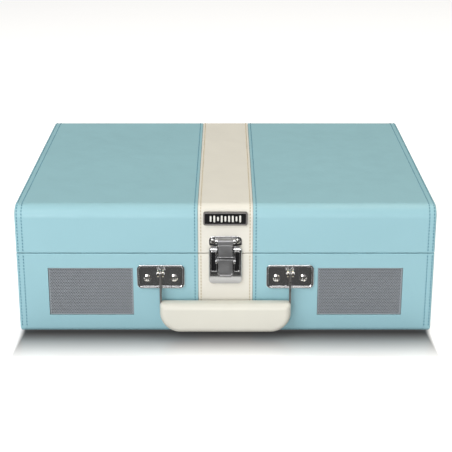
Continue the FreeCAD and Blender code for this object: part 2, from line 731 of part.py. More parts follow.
def make_screws():
    """The screws of the handle plates, hinges, latch and stay, one node for each body that they hold to."""
    large = (3.3, 1.8, 1.5, 6)
    rear = REAR + c.leaf_thick
    front_spots = [(x, FRONT - 1, z) for x, z in plate_screw_spots()]
    rear_spots = [(x, rear, z) for x, z in hinge_screw_spots(-1)]
    node(group("base_screws", screws("plate_screw", front_spots, "front", *large)
               + screws("hinge_screw", rear_spots, "rear", *large)))
    keeper_spots = [(x, FRONT - c.latch_sheet, z) for x, z in keeper_screw_spots()]
    lid_spots = [(x, rear, z) for x, z in hinge_screw_spots(1)]
    rivet_spots = [(stay_x() + c.stay_thick, y, z) for y, z in stay_rivet_spots()]
    node(group("lid_screws", screws("keeper_screw", keeper_spots, "front", 2.2, 1, 1, 5)
               + screws("lid_hinge_screw", lid_spots, "rear", *large)
               + screws("stay_rivet", rivet_spots, "right", 2, 0.9, 1, 5)))


# ---------------------------------------------------------------- deck and drive

def motor_place():
    """The motor stands behind the spindle and to its left, at 45 degrees."""
    step = c.pulley_reach * math.sqrt(0.5)
    return c.spindle_x - step, c.spindle_y + step


def make_deck():
    inset = WALL + c.deck_clear
    half, front, rear = HALF - inset, FRONT + inset, REAR - inset
    deck = new_body("deck_plate")
    pad(deck, "XY", [span(-half, half, front, rear)], DECK_LOW, c.deck_thick)
    motor_x, motor_y = motor_place()
    holes = [
        circle(c.spindle_x, c.spindle_y, 8), circle(motor_x, motor_y, 9), circle(c.pivot_x, c.pivot_y, 8),
        circle(c.control_x, c.volume_y, 3.6), circle(c.control_x, c.source_y, 3.6),
        circle(c.control_x - 11, -108, 4), circle(c.control_x + 11, -108, 4),
        circle(c.control_x, -56.5, 1.6),
        rect(c.control_x, c.speed_y, 5, 18), rect(c.control_x, c.stop_y, 5, 13),
        circle(c.pivot_x + lift_post()[0], c.pivot_y + lift_post()[1], 2.4),
    ]
    pocket(deck, "XY", holes, DECK_LOW - 1, c.deck_thick + 2)
    pocket(deck, "XY", [circle(c.adapter_x, c.adapter_y, c.adapter_radius + 0.4)], DECK - 1.5, 3)
    spots = [(sx * (half - 5), y, DECK) for sx in (-1, 1) for y in (-95, -20, 55)]
    spots += [(sx * 60, REAR - WALL - 5, DECK) for sx in (-1, 1)]
    pocket(deck, "XY", [stay_slot()], DECK_LOW - 1, c.deck_thick + 2)
    stud_y = stay_point(c.stay_radius, DRIVING["stud_angle"])[0]
    pocket(deck, "XY", [circle(stay_x() + c.stay_thick + 8.3, stud_y, 1.2)], DECK - 1.5, 3)
    screw_holes = [circle(x, y, 1.7) for x, y, _ in spots]
    pocket(deck, "XY", screw_holes, DECK_LOW - 1, c.deck_thick + 2)
    node(deck)
    deck_screws = screws("deck_screw", spots, "above", 3.2, 1.5, 1.5, 10)

    cleats = []
    for side in (-1, 1):
        cleat = new_body(f"cleat_{'left' if side < 0 else 'right'}")
        x = side * (HALF - WALL - 6)
        pad(cleat, "XY", [span(x - 6, x + 6, -110, 65)], DECK_LOW - 12, 12)
        for y in (-95, -20, 55):
            pocket(cleat, "XY", [circle(side * (half - 5), y, 1.5)], DECK_LOW - 9, 10)
        cleats.append(cleat)
    for name, y, length in (("rear", REAR - WALL - 5, 240), ("front", FRONT + WALL + 5, 110)):
        cleat = new_body(f"cleat_{name}")
        pad(cleat, "XY", [rect(0, y, length, 10)], DECK_LOW - 12, 12)
        if name == "rear":
            pocket(cleat, "XY", [circle(-60, y, 1.5), circle(60, y, 1.5)], DECK_LOW - 9, 10)
        cleats.append(cleat)
    node(group("deck_battens", cleats))
    return deck_screws


def stay_point(radius, degrees):
    """A point on the stay's arc about the hinge, at an angle above the level line to the front."""
    angle = math.radians(degrees)
    return HINGE_Y - size(radius) * math.cos(angle), SEAM + size(radius) * math.sin(angle)


def stay_x():
    """The stay's outer face, against the lid's lining."""
    return WALL + c.lining - HALF


def stay_slot():
    """The notch in the deck's left edge that the stay passes through."""
    outer = c.stay_radius + c.stay_width / 2
    inner = c.stay_radius - c.stay_width / 2
    return span(stay_x() - 2, stay_x() + 2, HINGE_Y - outer - 1.5, HINGE_Y - inner + 3)


def arc_band(label, width, first, last, x, thick):
    """A flat arc about the hinge, between two angles."""
    radius = c.stay_radius
    ring = new_body(f"{label}_ring")
    loops = [circle(HINGE_Y, SEAM, radius + width / 2), circle(HINGE_Y, SEAM, radius - width / 2)]
    pad(ring, "YZ", loops, x, thick)
    sector = new_body(f"{label}_sector")
    corners = [(HINGE_Y, SEAM)] + [stay_point(radius * 2, first + (last - first) * i / 3) for i in range(4)]
    pad(sector, "YZ", [corners], x - 1, thick + 2)
    return boolean("Common", label, ring, sector)


def make_stay():
    """A quadrant stay: its slot runs over a stud and stops the lid when it has opened far enough."""
    x, thick, width = stay_x(), c.stay_thick, c.stay_width
    high, low = DRIVING["stud_angle"], DRIVING["stud_angle"] - 92
    band = arc_band("stay_band", width, low - 4.5, high + 6, x, thick)
    flange = new_body("stay_flange")
    pad(flange, "YZ", [span(HINGE_Y - 68, HINGE_Y - 38, SEAM + 23.4, SEAM + 30.8)], x, thick)
    slot_width = 2 * c.stud_radius + 0.6
    slot = arc_band("stay_slot_band", slot_width, low, high, x - 1, thick + 2)
    ends = new_body("stay_slot_ends")
    for angle in (low, high):
        end_y, end_z = stay_point(c.stay_radius, angle)
        pad(ends, "YZ", [circle(end_y, end_z, slot_width / 2)], x - 1, thick + 2)
    rivets = new_body("stay_rivet_holes")
    pad(rivets, "YZ", circles(stay_rivet_spots(), 1), x - 1, thick + 2)
    plate = fused("stay_plate", [band, flange])
    node(boolean("Cut", "lid_stay", plate, fused("stay_slot", [slot, ends, rivets])))

    stud_y, stud_z = stay_point(c.stay_radius, DRIVING["stud_angle"])
    inside = x + thick + 0.3
    bracket = new_body("stay_bracket")
    pad(bracket, "YZ", [span(stud_y - 6, stud_y + 6, DECK, stud_z + 3.5)], inside, 1.5)
    rounded(bracket, 3, edges("x", z=(stud_z + 3.5,)))
    pad(bracket, "XY", [span(inside, inside + 12, stud_y - 6, stud_y + 6)], DECK, 1.5)
    pad(bracket, "YZ", [circle(stud_y, stud_z, c.stud_radius)], inside - thick, thick)
    pocket(bracket, "XY", [circle(inside + 8, stud_y, 1.2)], DECK - 1, 4)
    node(bracket)
    return screws("bracket_screw", [(inside + 8, stud_y, DECK + 1.5)], "above", 2.6, 1.2, 1.2, 3)


def make_drive():
    x, y = c.spindle_x, c.spindle_y
    mat_top = c.web_top + c.mat_thick
    tip = mat_top + 9
    radius = c.spindle_radius
    # the groove takes the clip that keeps the platter down
    spindle = turned("spindle", [
        (0, 44), (radius, 44), (radius, mat_top - 1.3), (radius - 0.6, mat_top - 1.3),
        (radius - 0.6, mat_top), (radius, mat_top), (radius, tip - 3), (radius * 0.75, tip - 0.8), (0, tip),
    ])
    node(spindle, x, y)
    bush = turned("spindle_bush", [
        (radius, 50), (8, 50), (8, DECK), (13, DECK), (13, DECK + 0.7), (radius, DECK + 0.7),
    ])
    node(bush, x, y)

    low = DECK + 1
    web, web_low, outer, ring = c.web_top, c.web_top - 2.5, c.platter_radius, c.belt_ring
    bore_radius = radius + 0.05
    platter = turned("platter", [
        (bore_radius, low), (9, low), (9, web_low), (ring - 2, web_low), (ring - 2, low + 0.3),
        (ring, low + 0.3), (ring, web_low), (outer - 3, web_low), (outer - 3, low), (outer - 1, low),
        (outer, low + 1), (outer, web - 0.8), (outer - 0.8, web), (bore_radius, web),
    ])
    node(platter, x, y)
    mat = turned("slip_mat", [
        (bore_radius + 0.3, web), (outer - 2.5, web), (outer - 2.5, mat_top - 0.3), (outer - 2.8, mat_top),
        (48, mat_top), (47, mat_top - 0.4), (bore_radius + 0.3, mat_top - 0.4),
    ])
    node(mat, x, y)

    motor_x, motor_y = motor_place()
    motor = turned("motor", [
        (0, 36), (16, 36), (16, DECK_LOW - 3), (4, DECK_LOW - 3), (4, DECK_LOW + 1), (0, DECK_LOW + 1),
    ])
    node(motor, motor_x, motor_y)
    shaft = c.pulley_radius
    pulley = turned("motor_pulley", [
        (0, DECK_LOW + 1.3), (1, DECK_LOW + 1.3), (1, DECK + 0.5), (shaft + 2, DECK + 0.5),
        (shaft + 2, DECK + 0.9), (shaft, DECK + 1.1), (shaft, DECK + 4.1), (shaft + 2, DECK + 4.2),
        (shaft + 2, DECK + 4.3), (0, DECK + 4.3),
    ])
    node(pulley, motor_x, motor_y)
    grommets = []
    for number, angle in enumerate((30, 150, 270), 1):
        grommet = turned(f"grommet_{number}", [
            (1.5, DECK_LOW - 3), (4, DECK_LOW - 3), (4, DECK_LOW), (1.5, DECK_LOW),
        ])
        turn = math.radians(angle)
        place(grommet, motor_x + 11 * math.cos(turn), motor_y + 11 * math.sin(turn))
        grommets.append(grommet)
    node(group("motor_grommets", grommets))
    make_belt(motor_x, motor_y)


def belt_loop(big, small, reach):
    """The outline of an open belt round a big wheel at the origin and a small one at 135 degrees."""
    lean = math.acos((big - small) / reach)
    along = math.radians(135)

    def point(radius, angle, centre):
        return centre + Vector(math.cos(angle), math.sin(angle), 0) * radius

    origin = Vector()
    far = point(reach, along, origin)
    on_big = [point(big, along + lean, origin), point(big, along + math.pi, origin),
              point(big, along - lean, origin)]
    on_small = [point(small, along - lean, far), point(small, along, far), point(small, along + lean, far)]
    return Part.Wire([
        Part.Arc(*on_big).toShape(), Part.LineSegment(on_big[2], on_small[0]).toShape(),
        Part.Arc(*on_small).toShape(), Part.LineSegment(on_small[2], on_big[0]).toShape(),
    ])


def make_belt(motor_x, motor_y):
    gap, thick, height = 0.3, 0.8, 2.6
    big, small, reach = c.belt_ring.value + gap, c.pulley_radius.value + gap, c.pulley_reach.value
    face = Part.Face(belt_loop(big + thick, small + thick, reach)).cut(Part.Face(belt_loop(big, small, reach)))
    belt = doc.addObject("Part::Feature", "drive_belt")
    belt.Label = "drive_belt"
    belt.Shape = face.extrude(Vector(0, 0, height))
    node(belt, c.spindle_x, c.spindle_y, DECK + 1.4)


# ---------------------------------------------------------------- tonearm

def lift_post():
    """Where the lift's post stands from the arm's pivot: under the swing's middle."""
    angle = math.radians(-109)
    return c.lift_reach * math.cos(angle), c.lift_reach * math.sin(angle)


def make_tonearm():
    x, y, z = c.pivot_x, c.pivot_y, c.arm_z
    foot = turned("tonearm_base", [
        (0, DECK_LOW - 2), (8, DECK_LOW - 2), (8, DECK), (19, DECK), (19, DECK + 3), (18, DECK + 4),
        (11, DECK + 4), (11, DECK + 7), (0, DECK + 7),
    ])
    pad(foot, "YZ", [span(-12, -4, DECK, DECK + 12)], 18, 5)
    pocket(foot, "YZ", [circle(-8, DECK + 9, 1.2)], 17, 8)
    node(foot, x, y)

    low = DECK + 7.3
    gimbal = turned("arm_gimbal", [(0, low), (12.5, low), (12.5, low + 1.6), (11.7, low + 2.4), (0, low + 2.4)])
    for side in (-1, 1):
        pad(gimbal, "XZ", [span(side * 10 - 1.4, side * 10 + 1.4, low + 2, z + 4)], -5, 10)
    pocket(gimbal, "YZ", [circle(0, z, 1.3)], -15, 30)
    node(gimbal, x, y)

    tube = new_body("arm_tube")
    pad(tube, "YZ", [circle(0, z, 5)], -8.2, 16.4)
    pad(tube, "YZ", [circle(0, z, 1.2)], -11.2, 22.4)
    pad(tube, "XZ", [circle(0, z, c.tube_radius)], -c.tube_length, c.tube_length + 24)
    node(tube, x, y)

    weight = new_body("counterweight")
    pad(weight, "XZ", [circle(0, z, 8.5), circle(0, z, c.tube_radius)], 12, 16)
    rounded(weight, 1, edges(y=(12, 28)))
    node(weight, x, y)
    make_headshell()

    reach = c.rest_reach
    rest = new_body("arm_rest")
    saddle = z - c.tube_radius - 0.4
    pad(rest, "XY", [circle(x + 4, y - reach, 6)], DECK, 2)
    pad(rest, "XY", [circle(x + 4, y - reach, 3)], DECK + 2, saddle - DECK - 4)
    right = x + c.tube_radius
    profile = [
        (x - 5, saddle - 3), (right + 3.4, saddle - 3), (right + 3.4, z + 0.5), (right + 0.6, z + 0.5),
        (right + 0.6, saddle), (x - 5, saddle),
    ]
    pad(rest, "XZ", [profile], y - reach - 4.3, 8.6)
    axis_x, axis_z = right + 2, z + 2.6
    for start in (y - reach - 4.3, y - reach + 2.8):
        pad(rest, "XZ", [circle(axis_x, axis_z, 1.8)], start, 1.5)
        pad(rest, "XZ", [span(axis_x - 1.2, axis_x + 1.2, z, axis_z)], start, 1.5)
    pad(rest, "XZ", [circle(axis_x, axis_z, 0.8)], y - reach - 4.3, 8.6)
    node(rest)

    clip = new_body("arm_clip")
    pad(clip, "XZ", [circle(axis_x, axis_z, 1.8)], y - reach - 2.5, 5)
    pad(clip, "XZ", [span(axis_x + 0.2, axis_x + 1.8, axis_z, axis_z + 8.4)], y - reach - 2.5, 5)
    pocket(clip, "XZ", [circle(axis_x, axis_z, 0.85)], y - reach - 5, 10)
    node(clip)

    lift = new_body("cue_lift")
    top = z - c.tube_radius - 0.4
    post_x, post_y = lift_post()
    pad(lift, "XY", [circle(post_x, post_y, 2)], DECK_LOW - 3, top - 2 - (DECK_LOW - 3))
    pad(lift, "XY", [lift_outline()], top - 2, 2)
    node(lift, x, y)

    lever = new_body("cue_lever")
    axis = DECK + 9
    pad(lever, "YZ", [circle(-8, axis, 3)], 23.4, 3)
    pad(lever, "YZ", [circle(-8, axis, 1.1)], 19, 6)
    pad(lever, "YZ", [span(-26, -8, axis - 1, axis + 1)], 23.4, 3)
    rounded(lever, 0.9, edges("x", y=(-26,)))
    node(lever, x, y)


def lift_outline():
    """A curved bar under the arm's swing, as a band of short straight sides about the arm's pivot."""
    angles = [math.radians(-86 - step * 8) for step in range(7)]
    outer = [((c.lift_reach + 2) * math.cos(a), (c.lift_reach + 2) * math.sin(a)) for a in angles]
    inner = [((c.lift_reach - 2) * math.cos(a), (c.lift_reach - 2) * math.sin(a)) for a in reversed(angles)]
    return outer + inner


def make_headshell():
    """The headshell and its cartridge, turned 22 degrees towards the platter."""
    x, y, z = c.pivot_x, c.pivot_y, c.arm_z
    turn = FreeCAD.Rotation(Vector(0, 0, 1), -22)
    shell = new_body("shell_solid")
    pad(shell, "XY", [[(-4, 2), (4, 2), (8, -8), (8, -34), (-8, -34), (-8, -8)]], z - 1.4, 3)
    rounded(shell, 2, edges("z"))
    rounded(shell, 0.8, edges(z=(z + 1.6,)))
    pad(shell, "XY", [span(8, 12, -30, -26)], z - 1, 1.2)
    pad(shell, "XZ", [circle(0, z, 4.2)], -4, 7)
    cartridge = new_body("cartridge")
    low = c.web_top + c.mat_thick + 2
    pad(cartridge, "XY", [span(-6, 6, -30, -12)], low + 2.6, z - 1.4 - low - 2.6)
    rounded(cartridge, 1, edges("z"))
    stylus = [(-31.6, low + 2.6), (-24, low + 4.6), (-24, low + 3.4), (-30.6, low + 1.2), (-31.2, low),
              (-31.6, low + 1.2)]
    pad(cartridge, "YZ", [stylus], -0.6, 1.2)
    cartridge.Placement = FreeCAD.Placement(Vector(), turn)
    node(cartridge, x, y - c.tube_length)
    shell.Placement = FreeCAD.Placement(Vector(), turn)
    place(shell, 0, -c.tube_length)
    socket = new_body("shell_socket")
    pad(socket, "XZ", [circle(0, z, c.tube_radius)], -c.tube_length, 12)
    node(boolean("Cut", "headshell", shell, socket), x, y)


# ---------------------------------------------------------------- controls and electronics

def make_controls():
    x, top = c.control_x, c.board_top
    pots, knobs = [], (("volume_knob", c.volume_y), ("source_knob", c.source_y))
    for label, y in knobs:
        pot = new_body(f"{label}_pot")
        pad(pot, "XY", [rect(x, y, 17, 17)], top, DECK_LOW - top)
        pad(pot, "XY", [circle(x, y, 3.5)], DECK_LOW, c.deck_thick)
        pots.append(pot)
        knob = turned(label, [
            (0, DECK + 0.3), (11.5, DECK + 0.3), (11.5, DECK + 1.6), (10, DECK + 2.2), (9.4, DECK + 11.4),
            (8.6, DECK + 12.2), (0, DECK + 12.2),
        ])
        pocket(knob, "XY", [rect(0, 6, 1.2, 6)], DECK + 11.6, 2)
        node(knob, x, y)
    node(group("control_pots", pots))

    for label, y, length in (("speed_switch", c.speed_y, 6), ("stop_switch", c.stop_y, 6)):
        low_y = y - (4 if label == "speed_switch" else 2)
        knob = new_body(label)
        pad(knob, "XY", [rect(x, low_y, 3, length)], DECK_LOW - 0.5, c.deck_thick + 1)
        pad(knob, "XY", [rect(x, low_y, 6, length + 2)], DECK + 0.5, 1)
        pad(knob, "XY", [rect(x, low_y, 5, 3)], DECK + 1.5, 3)
        node(knob)

    board = new_body("main_board")
    pad(board, "XY", [span(x - 22, x + 12, -101, 44)], top - 1.6, 1.6)
    for px, py, w, d, h in ((-14, 20, 12, 12, 5), (-15, -8, 8, 16, 3), (0, 30, 9, 9, 4)):
        pad(board, "XY", [rect(x + px, py, w, d)], top - 0.1, h)
    for px, py, r, h in ((-15, -60, 4, 7), (-15, -72, 4, 7), (-15, -48, 3, 5)):
        pad(board, "XY", [circle(x + px, py, r)], top - 0.1, h)
    node(board)

    jacks = []
    for name, side in (("headphone", -1), ("aux", 1)):
        jack_x = x + side * 11
        jack = new_body(f"{name}_jack")
        pad(jack, "XY", [rect(jack_x, -108, 10, 12)] if side < 0 else [rect(jack_x - 3, -108, 10, 12)],
            top, DECK_LOW - top)
        pad(jack, "XY", [circle(jack_x, -108, 3.9)], DECK_LOW - 1, c.deck_thick + 1.6)
        pocket(jack, "XY", [circle(jack_x, -108, 1.8)], top - 1, DECK + 4 - top)
        jacks.append(jack)
    node(group("audio_jacks", jacks))

    lamp = turned("power_lamp", [(0, DECK_LOW - 4), (1.5, DECK_LOW - 4), (1.5, DECK + 0.4), (0, DECK + 0.9)])
    node(lamp, x, -56.5)

    adapter = turned("adapter_45", [
        (3.65, DECK - 1.3), (c.adapter_radius, DECK - 1.3), (c.adapter_radius, DECK + 2.2),
        (c.adapter_radius - 1, DECK + 3), (3.65, DECK + 3),
    ])
    node(adapter, c.adapter_x, c.adapter_y)


def make_rear_panel():
    x, z, wall = c.panel_x, c.panel_z, REAR - WALL
    panel = new_body("jack_panel")
    pad(panel, "XZ", [rect(x, z, c.panel_width + 12, c.panel_height + 8)], wall - 2, 2)
    rounded(panel, 3, edges("y"))
    places = [x - 20, x - 20 + c.rca_pitch]
    holes = [circle(px, z, 3) for px in places] + [rect(x + 20, z, 9, 11)]
    pocket(panel, "XZ", holes, wall - 3, 4)
    node(panel)

    sockets = []
    for number, px in enumerate(places, 1):
        socket = new_body(f"rca_{number}")
        pad(socket, "XZ", [circle(px, z, 6)], wall, 1.2)
        pad(socket, "XZ", [circle(px, z, c.rca_radius)], wall + 1.2, 7.4)
        pad(socket, "XZ", [circle(px, z, 3)], wall - 8, 8)
        pocket(socket, "XZ", [circle(px, z, 1.6)], wall, 9)
        sockets.append(socket)
    power = new_body("dc_socket")
    pad(power, "XZ", [rect(x + 20, z, 9, 11)], wall - 12, 13.2)
    pocket(power, "XZ", [circle(x + 20, z, 2.9)], wall - 9, 11)
    pad(power, "XZ", [circle(x + 20, z, 1)], wall - 9.5, 9)
    node(group("rear_sockets", sockets + [power]))


# ---------------------------------------------------------------- everything

def build():
    make_base_wrap(make_base_box())
    make_lid()
    foot_screws = make_feet()
    make_speakers()
    handle_pins = make_handle()
    lever_pin = make_latch()
    make_badge()
    hinge_pins = make_hinges()
    make_screws()
    bracket_screw = make_stay()
    node(group("wood_screws", foot_screws + make_deck() + bracket_screw))
    node(group("base_pins", handle_pins + [lever_pin] + hinge_pins))
    make_drive()
    make_tonearm()
    make_controls()
    make_rear_panel()
    doc.recompute()


def check():
    failed = [o.Label for o in doc.Objects if {"Invalid", "Error"} & set(o.State)]
    failed += [name for name, thing in NODES.items() if thing.Shape.isNull() or not thing.Shape.isValid()]
    if failed:
        raise RuntimeError(f"failed pieces: {failed}")


def export():
    os.makedirs("parts", exist_ok=True)
    for name, thing in NODES.items():
        thing.Shape.exportStep(f"parts/{name}.step")
        print(f"{name}: {len(thing.Shape.Solids)} solids, {thing.Shape.Volume / 1000:.2f} cm3")
    print(len(NODES), "nodes")


build()
check()
export()
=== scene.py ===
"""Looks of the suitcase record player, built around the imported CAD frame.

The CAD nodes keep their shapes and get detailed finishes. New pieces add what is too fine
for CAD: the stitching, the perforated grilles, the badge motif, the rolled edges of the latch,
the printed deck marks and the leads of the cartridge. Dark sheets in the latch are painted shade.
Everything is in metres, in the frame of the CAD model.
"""

import math

import bpy
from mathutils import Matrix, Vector


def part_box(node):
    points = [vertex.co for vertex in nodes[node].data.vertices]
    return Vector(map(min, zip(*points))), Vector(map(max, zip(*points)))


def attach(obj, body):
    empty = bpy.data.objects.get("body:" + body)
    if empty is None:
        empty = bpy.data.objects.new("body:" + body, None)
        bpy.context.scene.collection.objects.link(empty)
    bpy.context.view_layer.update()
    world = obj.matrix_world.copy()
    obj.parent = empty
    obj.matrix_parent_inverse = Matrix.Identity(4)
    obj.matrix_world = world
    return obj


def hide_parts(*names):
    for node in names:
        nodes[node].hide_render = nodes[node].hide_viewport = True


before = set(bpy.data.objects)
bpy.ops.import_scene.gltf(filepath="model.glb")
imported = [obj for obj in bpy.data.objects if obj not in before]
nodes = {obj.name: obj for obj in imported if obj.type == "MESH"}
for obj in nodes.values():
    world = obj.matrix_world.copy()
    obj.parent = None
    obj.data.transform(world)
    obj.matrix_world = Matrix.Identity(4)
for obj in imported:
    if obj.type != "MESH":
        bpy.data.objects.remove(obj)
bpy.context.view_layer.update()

MM = 0.001
LID_LOW, LID_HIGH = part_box("lid_wrap_blue")
BASE_LOW, BASE_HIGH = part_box("base_wrap_blue")
FRONT = LID_LOW.y
REAR = LID_HIGH.y
TOP = LID_HIGH.z
HALF = LID_HIGH.x
STRIP_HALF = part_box("lid_wrap_cream")[1].x
EDGE_ROUND = 10.5 * MM
EAR_FRONT = FRONT - 3.4 * MM
STITCH_PITCH = 2.9 * MM
ROW_END = 1.2 * MM
FOOT_END = 5 * MM

# distances of the stitch lines from the middle of the case, in metres
BLUE_LINES = (STRIP_HALF + 2.9 * MM, HALF - 6.0 * MM, HALF - 2.0 * MM)
CREAM_LINES = (STRIP_HALF - 2.2 * MM,)


# ---------------------------------------------------------------- finishes

class Finish:
    """A Principled material and small helpers for the nodes that feed it."""

    def __init__(self, name, color, rough, metal=0.0, **sockets):
        self.material = bpy.data.materials.new(name)
        self.material.use_nodes = True
        self.tree = self.material.node_tree
        self.shader = self.tree.nodes["Principled BSDF"]
        self.set("Base Color", (*color, 1))
        self.set("Roughness", rough)
        self.set("Metallic", metal)
        for socket, value in sockets.items():
            self.set(socket.replace("_", " "), value)
        self.color = color
        self.normal = None
        self.place = self.add("ShaderNodeTexCoord").outputs["Object"]

    def set(self, socket, value):
        self.shader.inputs[socket].default_value = value

    def add(self, kind, **settings):
        made = self.tree.nodes.new(kind)
        for key, value in settings.items():
            setattr(made, key, value)
        return made

    def link(self, source, target):
        self.tree.links.new(source, target)

    def stretched(self, scale):
        """The object coordinates, scaled unevenly."""
        mapping = self.add("ShaderNodeMapping")
        mapping.inputs["Scale"].default_value = scale
        self.link(self.place, mapping.inputs["Vector"])
        return mapping.outputs["Vector"]

    def noise(self, scale, detail=3.0, rough=0.5, where=None):
        texture = self.add("ShaderNodeTexNoise")
        texture.inputs["Scale"].default_value = scale
        texture.inputs["Detail"].default_value = detail
        texture.inputs["Roughness"].default_value = rough
        self.link(where or self.place, texture.inputs["Vector"])
        return texture.outputs["Fac"]

    def cells(self, scale, where=None, smooth=0.6):
        texture = self.add("ShaderNodeTexVoronoi", feature="SMOOTH_F1")
        texture.inputs["Scale"].default_value = scale
        texture.inputs["Smoothness"].default_value = smooth
        self.link(where or self.place, texture.inputs["Vector"])
        return texture.outputs["Distance"]

    def math(self, operation, first, second=None, clamp=False):
        made = self.add("ShaderNodeMath", operation=operation, use_clamp=clamp)
        for socket, value in zip(made.inputs, (first, second)):
            if isinstance(value, (int, float)):
                socket.default_value = value
            elif value is not None:
                self.link(value, socket)
        return made.outputs["Value"]

    def span(self, value, low, high, to_low, to_high):
        made = self.add("ShaderNodeMapRange", interpolation_type="SMOOTHSTEP")
        self.link(value, made.inputs["Value"])
        limits = {"From Min": low, "From Max": high, "To Min": to_low, "To Max": to_high}
        for socket, number in limits.items():
            made.inputs[socket].default_value = number
        return made.outputs["Result"]

    def axes(self):
        made = self.add("ShaderNodeSeparateXYZ")
        self.link(self.place, made.inputs["Vector"])
        return made.outputs["X"], made.outputs["Y"], made.outputs["Z"]

    def tint(self, factor, low, high):
        """Base colour runs from low to high times the finish's own colour."""
        ramp = self.add("ShaderNodeValToRGB")
        for stop, share in zip(ramp.color_ramp.elements, (low, high)):
            stop.color = (*[min(1.0, part * share) for part in self.color], 1)
        self.link(factor, ramp.inputs["Fac"])
        self.link(ramp.outputs["Color"], self.shader.inputs["Base Color"])
        return ramp.outputs["Color"]

    def shade(self, color, factor, amount):
        """Darkens a colour where factor is high."""
        mix = self.add("ShaderNodeMix", data_type="RGBA", blend_type="MULTIPLY")
        self.link(factor, mix.inputs["Factor"])
        self.link(color, mix.inputs["A"])
        mix.inputs["B"].default_value = (amount[0], amount[1], amount[2], 1)
        self.link(mix.outputs["Result"], self.shader.inputs["Base Color"])
        return mix.outputs["Result"]

    def gloss(self, factor, low, high):
        self.link(self.span(factor, 0.3, 0.7, low, high), self.shader.inputs["Roughness"])

    def bump(self, height, distance, strength=1.0):
        """Adds a bump of the given depth in metres on top of the earlier ones."""
        made = self.add("ShaderNodeBump")
        made.inputs["Distance"].default_value = distance
        made.inputs["Strength"].default_value = strength
        self.link(height, made.inputs["Height"])
        if self.normal is not None:
            self.link(self.normal, made.inputs["Normal"])
        self.normal = made.outputs["Normal"]
        self.link(self.normal, self.shader.inputs["Normal"])


def leatherette(name, color, lines, shadow):
    """Embossed leather cloth with the grooves that the stitching pulls in, and painted shade that
    darkens the colour along them.
    """
    made = Finish(name, color, 0.42, Specular_IOR_Level=0.42)
    broad = made.noise(9, 3)
    grain = made.cells(1150)
    fine = made.noise(2600, 2)
    body = made.tint(broad, 0.95, 1.05)
    across = made.math("ABSOLUTE", made.axes()[0])
    groove_and_shade = None
    for line in lines:
        off = made.math("ABSOLUTE", made.math("SUBTRACT", across, line))
        one = made.span(off, 0.0002, 0.0011, 1, 0)
        groove_and_shade = one if groove_and_shade is None else made.math("MAXIMUM", groove_and_shade, one)
    # painted shade: the colour darkens along the stitch grooves by the shadow factors
    made.shade(body, groove_and_shade, shadow)
    made.gloss(made.noise(60, 4), 0.38, 0.5)
    made.bump(made.math("MULTIPLY", groove_and_shade, -1), 0.00014, 0.6)
    made.bump(grain, 0.00006, 0.45)
    made.bump(fine, 0.00003, 0.35)
    return made.material


def polished(name, color, rough, haze=0.06, dent=0.00002):
    """Plated metal with faint polishing marks and a slight waviness."""
    made = Finish(name, color, rough, 1.0)
    cloud = made.noise(55, 4)
    marks = made.noise(300, 5, 0.6, made.stretched((0.15, 1.0, 1.0)))
    made.tint(cloud, 0.96, 1.02)
    made.gloss(marks, rough, rough + haze)
    made.bump(made.noise(180, 2), dent, 0.5)
    made.bump(marks, 0.000004, 0.4)
    return made.material


def eared(name, color, ear_color, rough, front):
    """Plated sheet whose ears, the part ahead of a depth, have a warmer plating."""
    made = Finish(name, color, rough, 1.0)
    cloud = made.noise(55, 4)
    ear = made.span(made.axes()[1], front - 0.0003, front + 0.0003, 1, 0)
    made.shade(made.tint(cloud, 0.96, 1.02), ear, ear_color)
    made.gloss(cloud, rough, rough + 0.06)
    made.bump(made.noise(180, 2), 0.00002, 0.5)
    return made.material


def brushed(name, color, rough, along=(0.02, 1.0, 1.0)):
    """Metal with a fine brushed grain along one axis."""
    made = Finish(name, color, rough, 1.0)
    lines = made.noise(2200, 4, 0.6, made.stretched(along))
    made.tint(lines, 0.86, 1.08)
    made.gloss(lines, rough - 0.06, rough + 0.1)
    made.bump(lines, 0.00001, 0.5)
    return made.material


def turned(name, color, rough, centre, pitch=0.0004, metal=1.0, depth=0.00001):
    """Metal or plastic with the rings of a lathe tool around a vertical axis."""
    made = Finish(name, color, rough, metal)
    x, y, _ = made.axes()
    run = made.math("SUBTRACT", x, centre[0])
    rise = made.math("SUBTRACT", y, centre[1])
    squares = made.math("ADD", made.math("MULTIPLY", run, run), made.math("MULTIPLY", rise, rise))
    far = made.math("SQRT", squares)
    wave = made.math("SINE", made.math("MULTIPLY", far, math.tau / pitch))
    grit = made.noise(800, 3)
    made.tint(grit, 0.9, 1.06)
    made.gloss(grit, rough - 0.05, rough + 0.08)
    made.bump(wave, depth, 0.5)
    made.bump(grit, 0.000006, 0.4)
    return made.material


def moulded(name, color, rough, grain=1600, depth=0.00003, shine=0.5):
    """Moulded plastic with a spark-eroded surface and slight colour drift."""
    made = Finish(name, color, rough, Specular_IOR_Level=shine)
    made.tint(made.noise(25, 3), 0.95, 1.06)
    made.gloss(made.noise(120, 4), rough - 0.04, rough + 0.06)
    made.bump(made.noise(grain, 3), depth, 0.5)
    return made.material


def painted(name, color, rough, peel=420, depth=0.00004, metal=0.0):
    """Sprayed or baked paint with orange peel."""
    made = Finish(name, color, rough, metal, Coat_Weight=0.15, Coat_Roughness=0.25)
    made.tint(made.noise(30, 3), 0.93, 1.08)
    made.gloss(made.noise(90, 4), rough - 0.05, rough + 0.08)
    made.bump(made.noise(peel, 3), depth, 0.4)
    return made.material


